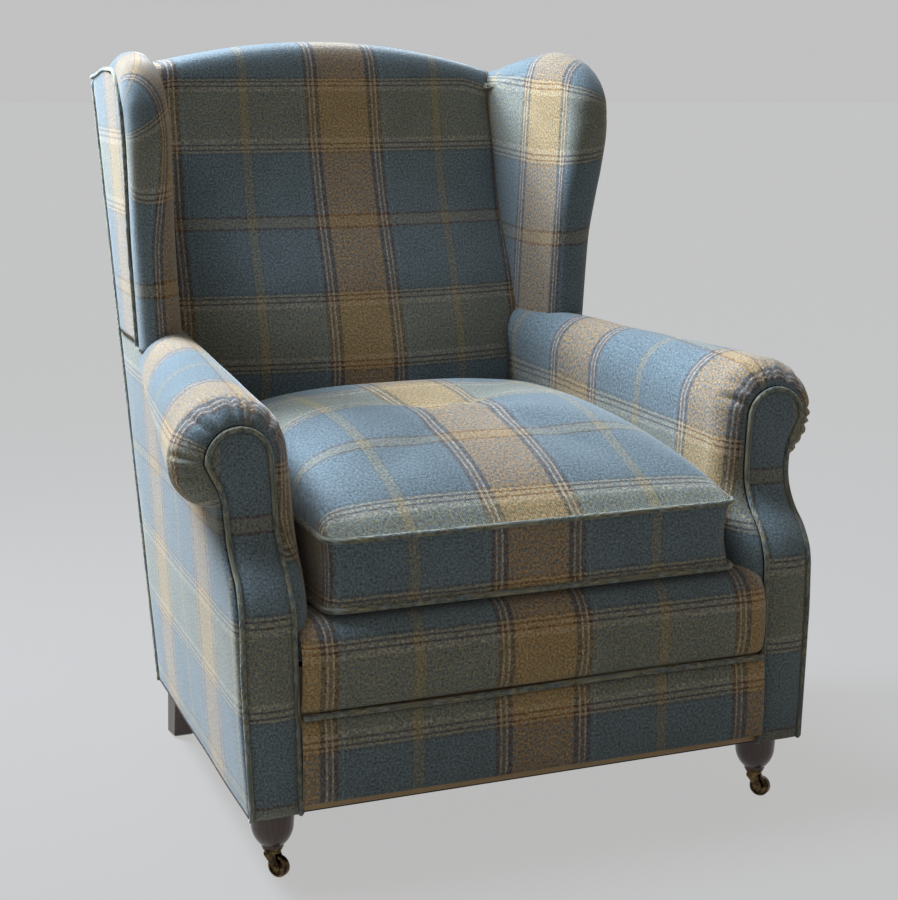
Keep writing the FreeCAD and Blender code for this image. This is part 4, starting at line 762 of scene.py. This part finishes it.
def seat_cushion_cover():
    """The filled cushion, whose cloth starts anew on the plaid at each seam."""
    rings, weave, kinds = cushion_mesh()
    count, around = rings.shape[:2]
    starts = [bool(index and kinds[index] != kinds[index - 1]) for index in range(count)]
    whole = [index for index in range(count) if not starts[index]]
    shape = rings[whole]
    faces = sheet_faces(len(whole), around, ring_cols=True) + end_faces(len(whole), around)
    lower, upper = UNDER_RINGS - 1, UNDER_RINGS + BORDER_RINGS - 1
    shape = inflated(shape, faces, [whole.index(lower), whole.index(upper)])
    order = np.cumsum([not start for start in starts]) - 1
    shape = puckered(shape[order], kinds)
    faces = []
    for i in range(count - 1):
        if not starts[i + 1]:
            faces += [tuple(i * around + corner for corner in face)
                      for face in sheet_faces(2, around, ring_cols=True)]
    return new_object("seat_cushion_cover", shape, faces + end_faces(count, around), weave, "cushion")


def puckered(rings, kinds):
    """Small uneven draws in the cloth beside the two seams."""
    rings = rings.copy()
    count, around = rings.shape[:2]
    at = np.arange(around) * 2 * math.pi / around
    wave = np.sin(31 * at + 1.1 * np.sin(5 * at)) + 0.7 * np.sin(53 * at + 2.0 + np.sin(7 * at))
    for index in range(count):
        if kinds[index] == "top":
            steps = index - kinds.index("top")
            rings[index, :, 2] += 1.1 * wave * math.exp(-((steps - 1.6) / 1.8) ** 2)
        if kinds[index] == "border":
            steps = min(index - UNDER_RINGS, UNDER_RINGS + BORDER_RINGS - 1 - index)
            centre = rings[index].mean(axis=0)
            away = rings[index] - centre
            away[:, 2] = 0
            away /= np.linalg.norm(away, axis=1)[:, None]
            rings[index] += away * (0.7 * wave * math.exp(-((steps - 2.0) / 2.0) ** 2))[:, None]
    return rings


def inflated(rings, faces, seams):
    """Cloth simulation of the filled cushion, its seams held where they are sewn."""
    count, around = rings.shape[:2]
    points = rings.reshape(-1, 3) * 0.001
    mesh = bpy.data.meshes.new("cushion_form")
    mesh.from_pydata(points.tolist(), [], [list(face) for face in faces])
    form = bpy.data.objects.new("cushion_form", mesh)
    scene = bpy.context.scene
    scene.collection.objects.link(form)
    held = form.vertex_groups.new(name="seams")
    for seam in seams:
        held.add([seam * around + j for j in range(around)], 1.0, "REPLACE")
    cloth = form.modifiers.new("cloth", "CLOTH")
    cloth.settings.quality = 6
    cloth.settings.mass = 0.4
    cloth.settings.tension_stiffness = 12
    cloth.settings.compression_stiffness = 12
    cloth.settings.bending_stiffness = 4
    cloth.settings.use_pressure = True
    cloth.settings.uniform_pressure_force = 3.0
    cloth.settings.vertex_group_mass = "seams"
    cloth.settings.effector_weights.gravity = 0
    for number in range(1, 21):
        scene.frame_set(number)
    found = form.evaluated_get(bpy.context.evaluated_depsgraph_get()).data
    swollen = np.zeros(len(mesh.vertices) * 3)
    found.vertices.foreach_get("co", swollen)
    move = swollen.reshape(-1, 3) - points
    far = np.linalg.norm(move, axis=1)
    limit = 0.010
    move *= (np.minimum(far, limit) / np.maximum(far, 1e-9))[:, None]
    scene.frame_set(1)
    bpy.data.objects.remove(form)
    move = move.reshape(count, around, 3)
    for _ in range(30):
        move = 0.4 * move + 0.3 * (np.roll(move, 1, 1) + np.roll(move, -1, 1))
        move[1:-1] = 0.5 * move[1:-1] + 0.25 * (move[:-2] + move[2:])
        for seam in seams:
            move[seam] = 0
    filled = (points.reshape(count, around, 3) + move) * 1000.0
    filled[..., 2] = np.maximum(filled[..., 2], CUSHION_LOW)
    return filled


def cushion_cords():
    """Piping round the cushion's lower and upper seams."""
    outline, _ = even_outline(300, 2.6, 27.0)
    heights = {"lower": np.full(len(outline), CUSHION_LOW + 4.5),
               "upper": seam_height(outline[:, 1]) + 0.5}
    return [cord("cushion_cord_" + name, np.column_stack([outline, z]), 3.9, closed=True,
                 body="cushion") for name, z in heights.items()]


# Finishes

class Value:
    """Output of a material's node, on which sums are written as expressions."""

    def __init__(self, finish, socket):
        self.finish, self.socket = finish, socket

    def also(self, output):
        """Another output of the same node."""
        return Value(self.finish, self.socket.node.outputs[output])

    def maths(self, operation, *others):
        values = dict(enumerate((self,) + others))
        return self.finish.node("ShaderNodeMath", {"operation": operation}, values)

    def __add__(self, other):
        return self.maths("ADD", other)

    def __mul__(self, other):
        return self.maths("MULTIPLY", other)

    def __sub__(self, other):
        return self.maths("SUBTRACT", other)

    def __rsub__(self, other):
        return self.finish.node("ShaderNodeMath", {"operation": "SUBTRACT"}, {0: other, 1: self})

    __radd__ = __add__
    __rmul__ = __mul__


class Finish:
    """The nodes of a material or the world, and its shader."""

    def __init__(self, owner, shader="Principled BSDF", **settings):
        owner.use_nodes = True
        self.owner, self.tree = owner, owner.node_tree
        self.shader = self.tree.nodes[shader]
        self.set(**settings)

    def node(self, kind, settings=None, inputs=None, output=0):
        made = self.tree.nodes.new(kind)
        for key, value in (settings or {}).items():
            if key == "stops":
                self.stops(made.color_ramp, value)
            else:
                setattr(made, key, value)
        for key, value in (inputs or {}).items():
            self.feed(made.inputs[key], value)
        return Value(self, made.outputs[output])

    def stops(self, ramp, stops):
        ramp.interpolation = "LINEAR"
        for index, (place, colour) in enumerate(stops):
            stop = ramp.elements[index] if index < 2 else ramp.elements.new(place)
            stop.position = place
            stop.color = tuple(colour) + (1.0,)

    def feed(self, socket, value):
        if isinstance(value, Value):
            self.tree.links.new(value.socket, socket)
        elif isinstance(value, tuple) and socket.type == "RGBA":
            socket.default_value = value + (1.0,)
        else:
            socket.default_value = value

    def set(self, **values):
        for socket, value in values.items():
            self.feed(self.shader.inputs[socket.replace("_", " ")], value)

    def noise(self, place, scale, detail=2.0, roughness=0.5):
        return self.node("ShaderNodeTexNoise", {}, {
            "Vector": place, "Scale": scale, "Detail": detail, "Roughness": roughness})

    def mix(self, share, first, second):
        return self.node("ShaderNodeMix", {"data_type": "RGBA"}, {0: share, 6: first, 7: second}, 2)

    def shaded(self, colour, level):
        return self.node("ShaderNodeVectorMath", {"operation": "SCALE"}, {0: colour, 3: level})

    def bump(self, height, strength, distance):
        return self.node("ShaderNodeBump", {}, {
            "Height": height, "Strength": strength, "Distance": distance})


BLUE = (0.135, 0.178, 0.206)
PALE_BLUE = (0.18, 0.235, 0.27)
BEIGE = (0.43, 0.262, 0.110)
CREAM = (0.52, 0.41, 0.32)
TAN = (0.39, 0.345, 0.24)
OLIVE = (0.25, 0.228, 0.145)
TAUPE = (0.245, 0.222, 0.16)
BROWN = (0.17, 0.105, 0.062)
DARK_BROWN = (0.105, 0.060, 0.043)
DARK_BLUE = (0.10, 0.115, 0.125)

# Bands from the middle of the beige band, and of the olive band, in millimetres
WARP_BANDS = [(0.0, BEIGE), (40.0, DARK_BROWN), (46.5, CREAM), (49.4, BROWN), (54.0, CREAM),
              (56.7, DARK_BROWN), (62.0, BLUE), (66.5, PALE_BLUE), (69.0, BLUE), (151.5, DARK_BLUE),
              (153.0, TAUPE)]
WEFT_BANDS = [(0.0, OLIVE), (38.0, TAN), (46.0, DARK_BROWN), (48.8, TAN), (53.5, DARK_BROWN),
              (56.2, TAN), (59.2, DARK_BLUE), (63.0, BLUE), (155.5, DARK_BROWN), (159.2, TAUPE)]
WARP_HALF, WEFT_HALF = 160.0, SINGLE_LINE


def bands(finish, place, listed, half):
    """Colour of the yarns at a place across the bands, which mirror at both ends."""
    soft = 0.25
    stops = [(0.0, listed[0][1])]
    for (_, before), (start, colour) in zip(listed[:-1], listed[1:]):
        stops.append(((start - soft) / half, before))
        stops.append(((start + soft) / half, colour))
    at = place.maths("PINGPONG", half * 0.001) * (1000.0 / half)
    return finish.node("ShaderNodeValToRGB", {"stops": stops}, {0: at})


def material(name, roughness, **settings):
    return Finish(bpy.data.materials.new(name), Roughness=roughness, **settings)


def plaid_wool():
    """Heathered wool whose warp and weft bands cross as a plaid."""
    wool = material("plaid_wool", 0.92, Sheen_Weight=0.4, Sheen_Roughness=0.4, Specular_IOR_Level=0.2)
    cloth = wool.node("ShaderNodeAttribute", {"attribute_name": "weave"}, output=1)
    parts = wool.node("ShaderNodeSeparateXYZ", {}, {0: cloth})
    across, along = parts, parts.also(1)
    stray = wool.noise(cloth, 160.0, 1.0) - 0.5
    warp = bands(wool, across + stray * 0.0016, WARP_BANDS, WARP_HALF)
    weft = bands(wool, along + stray * 0.0016, WEFT_BANDS, WEFT_HALF)
    twill = ((across + along) * 2400.0).maths("SINE")
    grain = wool.noise(cloth, 330.0, 3.0, 0.7)
    fleck = wool.noise(cloth, 900.0, 1.0, 0.5)
    cloudy = wool.noise(cloth, 22.0, 2.0)
    yarn = wool.noise(cloth, 240.0, 2.0, 0.6)
    share = 0.5 + twill * 0.10 + (yarn - 0.5) * 2.6
    colour = wool.mix(share.maths("MINIMUM", 1.0), warp, weft)
    level = 1.0 + (grain - 0.5) * 3.4 + (fleck - 0.5) * 1.2 + (cloudy - 0.5) * 0.3
    wool.set(Base_Color=wool.shaded(colour, level))
    height = twill * 0.25 + grain + fleck * 0.6
    wool.set(Normal=wool.bump(height, 0.55, 0.0010))
    return wool.owner


def plain_cloth(name, dark, light, scale, roughness=0.9):
    """Plain woven cloth in two close colours."""
    cloth = material(name, roughness, Sheen_Weight=0.1)
    place = cloth.node("ShaderNodeTexCoord", output=3)
    grain = cloth.noise(place, scale, 3.0, 0.6)
    parts = cloth.node("ShaderNodeSeparateXYZ", {}, {0: place})
    threads = (parts * 3100.0).maths("SINE") * (parts.also(1) * 3100.0).maths("SINE")
    cloth.set(Base_Color=cloth.mix(grain * 0.8 + threads * 0.2, dark, light))
    cloth.set(Normal=cloth.bump(threads + grain, 0.3, 0.0005))
    return cloth.owner


def stained_wood():
    """Dark stained and waxed hardwood, worn a little lighter in its grain."""
    wood = material("dark_wood", 0.3, Coat_Weight=0.35, Coat_Roughness=0.18)
    place = wood.node("ShaderNodeTexCoord", output=3)
    long = wood.node("ShaderNodeMapping", {}, {0: place, "Scale": (60.0, 60.0, 7.0)})
    grain = wood.noise(long, 4.0, 6.0, 0.65)
    pores = wood.noise(long, 22.0, 2.0)
    share = (grain - 0.35) * 2.2
    wood.set(Base_Color=wood.mix(share.maths("MINIMUM", 1.0), (0.018, 0.008, 0.006),
                                 (0.095, 0.036, 0.018)))
    wood.set(Roughness=0.24 + pores * 0.22, Normal=wood.bump(pores, 0.12, 0.0004))
    return wood.owner


def frame_timber():
    """Plain pale hardwood of the frame."""
    timber = material("frame_timber", 0.62)
    place = timber.node("ShaderNodeTexCoord", output=3)
    long = timber.node("ShaderNodeMapping", {}, {0: place, "Scale": (5.0, 40.0, 40.0)})
    grain = timber.noise(long, 5.0, 6.0, 0.6)
    timber.set(Base_Color=timber.mix(grain, (0.36, 0.23, 0.11), (0.60, 0.44, 0.26)))
    timber.set(Normal=timber.bump(grain, 0.2, 0.0006))
    return timber.owner


def old_brass(name, bright):
    """Darkened brass, brighter where it is rubbed."""
    brass = material(name, 0.3, Metallic=1.0)
    place = brass.node("ShaderNodeTexCoord", output=3)
    worn = brass.noise(place, 110.0, 4.0, 0.6)
    fine = brass.noise(place, 900.0, 2.0)
    share = (worn - 0.42) * 3.0
    brass.set(Base_Color=brass.mix(share.maths("MINIMUM", 1.0), (0.034, 0.022, 0.013), bright))
    brass.set(Roughness=0.22 + fine * 0.24, Normal=brass.bump(fine, 0.15, 0.0003))
    return brass.owner


def zinc():
    """Plated steel of the bolts."""
    steel = material("bolt_steel", 0.35, Metallic=1.0)
    place = steel.node("ShaderNodeTexCoord", output=3)
    spangle = steel.noise(place, 260.0, 3.0)
    steel.set(Base_Color=steel.mix(spangle, (0.38, 0.38, 0.40), (0.62, 0.63, 0.65)))
    steel.set(Roughness=0.25 + spangle * 0.2)
    return steel.owner


SKY = (0.228, 0.21, 0.183)
BACKDROP = (0.537, 0.537, 0.537)
FLOOR_GLOW = (0.490, 0.486, 0.484)
FLOOR_TONE = (0.05, 0.05, 0.05)
COOL, NEUTRAL = (0.86, 1.0, 1.14), (1.0, 1.0, 1.0)
# Name, kind, place in metres, strength, colour, and spread in degrees or size in metres
LAMPS = [("key", "SUN", (-0.34, 0.30, 1.40), 3.8, COOL, 25.0),
         ("window", "AREA", (-0.90, 1.06, 1.90), 78.0, COOL, 0.5),
         ("rear_fill", "SUN", (0.5, 0.85, 0.9), 0.5, NEUTRAL, 60.0)]
# What the lamps aim at, halfway up the chair
AIM = (0.0, 0.0, 0.5)


def seen(finish):
    """1 for what the camera sees, straight or in metal and glass."""
    path = finish.node("ShaderNodeLightPath")
    return path.maths("MAXIMUM", path.also("Is Glossy Ray")).maths(
        "MAXIMUM", path.also("Is Transmission Ray"))


def studio():
    """Plain floor, plain background and soft light."""
    world = bpy.data.worlds.new("studio")
    bpy.context.scene.world = world
    air = Finish(world, "Background")
    air.set(Color=air.mix(seen(air), SKY, BACKDROP))

    floor = material("floor", 0.95, Specular_IOR_Level=0.0)
    shows = seen(floor)
    floor.set(Base_Color=floor.mix(shows, (0.25, 0.22, 0.18), FLOOR_TONE),
              Emission_Color=floor.mix(shows, (0.0, 0.0, 0.0), FLOOR_GLOW), Emission_Strength=1.0)
    mesh = bpy.data.meshes.new("floor")
    sides, far, level = 48, 60, -0.0005
    rim = [(far * math.cos(angle), far * math.sin(angle), level)
           for angle in np.linspace(0, 2 * math.pi, sides + 1)[:-1]]
    mesh.from_pydata(rim, [], [tuple(range(sides))])
    mesh.materials.append(floor.owner)
    ground = bpy.data.objects.new("floor", mesh)
    bpy.context.scene.collection.objects.link(ground)

    for name, kind, place, energy, colour, spread in LAMPS:
        lamp = bpy.data.lights.new(name, kind)
        lamp.energy = energy
        lamp.color = colour
        if kind == "SUN":
            lamp.angle = math.radians(spread)
        else:
            lamp.size = spread
        light = bpy.data.objects.new(name, lamp)
        light.location = place
        aim = Vector(place) - Vector(AIM)
        light.rotation_euler = aim.to_track_quat("Z", "Y").to_euler()
        bpy.context.scene.collection.objects.link(light)
    bpy.context.scene.view_settings.view_transform = "Standard"


def photo_camera():
    """Camera from the front left, looking a little down."""
    view = bpy.data.cameras.new("camera")
    sensor, focal, tall = 36.0, 2152.0, 900.0
    view.lens = sensor * focal / tall
    camera = bpy.data.objects.new("camera", view)
    camera.location = (-1.2604, -2.77725, 1.0002)
    camera.rotation_euler = (math.radians(90 - 10.1), 0.0, math.radians(-25.4))
    bpy.context.scene.collection.objects.link(camera)
    bpy.context.scene.camera = camera


# The chair

def dressed(pieces, material, nodes):
    """Material, slot and replaced nodes of new pieces."""
    for piece in pieces:
        piece.data.materials.clear()
        piece.data.materials.append(material)
        side = piece.name.rsplit("_", 1)[-1]
        own = [node for node in nodes if not node.endswith(("_left", "_right")) or node.endswith(side)]
        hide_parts(*own)


wool = plaid_wool()
hands = ("_right", "_left")


def of_both(*names):
    return [name + hand for name in names for hand in hands]


dressed(facing_cover(), wool, of_both("arm_facing"))
dressed(facing_cords(), wool, of_both("facing_piping"))
dressed(arm_cover(), wool, of_both("arm_padding"))
dressed(wing_cover(), wool, of_both("wing_padding"))
dressed([back_cover()], wool, ["inside_back_padding"])
dressed([outside_back_cover()], wool, ["outside_back_panel"])
dressed(outside_arm_cover(), wool, of_both("outside_arm_panel"))
dressed(outside_wing_cover(), wool, of_both("outside_wing_panel"))
wing_cord_right, wing_cord_left, back_cord = outside_cords()
dressed([wing_cord_right, wing_cord_left], wool, of_both("outside_wing_panel"))
dressed([back_cord], wool, ["outside_back_panel"])
dressed([seat_lip_cover()], wool, ["seat_lip"])
dressed([border_cover()], wool, ["front_border"])
dressed([border_cord()], wool, ["border_piping"])
dressed([seat_cushion_cover()], wool, ["seat_cushion"])
dressed(cushion_cords(), wool, ["cushion_piping"])

# Finish of a frame's node by a part of its name, the first that fits
FINISHES = {
    "front_leg": stained_wood(),
    "rear_leg": None,
    "castor_wheel": old_brass("castor_wheel", (0.24, 0.165, 0.08)),
    "castor_": old_brass("castor_brass", (0.22, 0.145, 0.065)),
    "leg_bolts": zinc(),
    "seat_deck": plain_cloth("deck_cloth", (0.10, 0.12, 0.13), (0.19, 0.21, 0.22), 300.0),
    "dust_cover": plain_cloth("dust_cloth", (0.012, 0.012, 0.014), (0.05, 0.05, 0.055), 500.0),
    "webbing": plain_cloth("webbing", (0.12, 0.09, 0.06), (0.30, 0.24, 0.16), 220.0),
    "": frame_timber(),
}
FINISHES["rear_leg"] = FINISHES["front_leg"]

for node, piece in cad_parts.items():
    kind = next(start for start in FINISHES if start in node)
    piece.data.materials.clear()
    piece.data.materials.append(FINISHES[kind])

studio()
photo_camera()
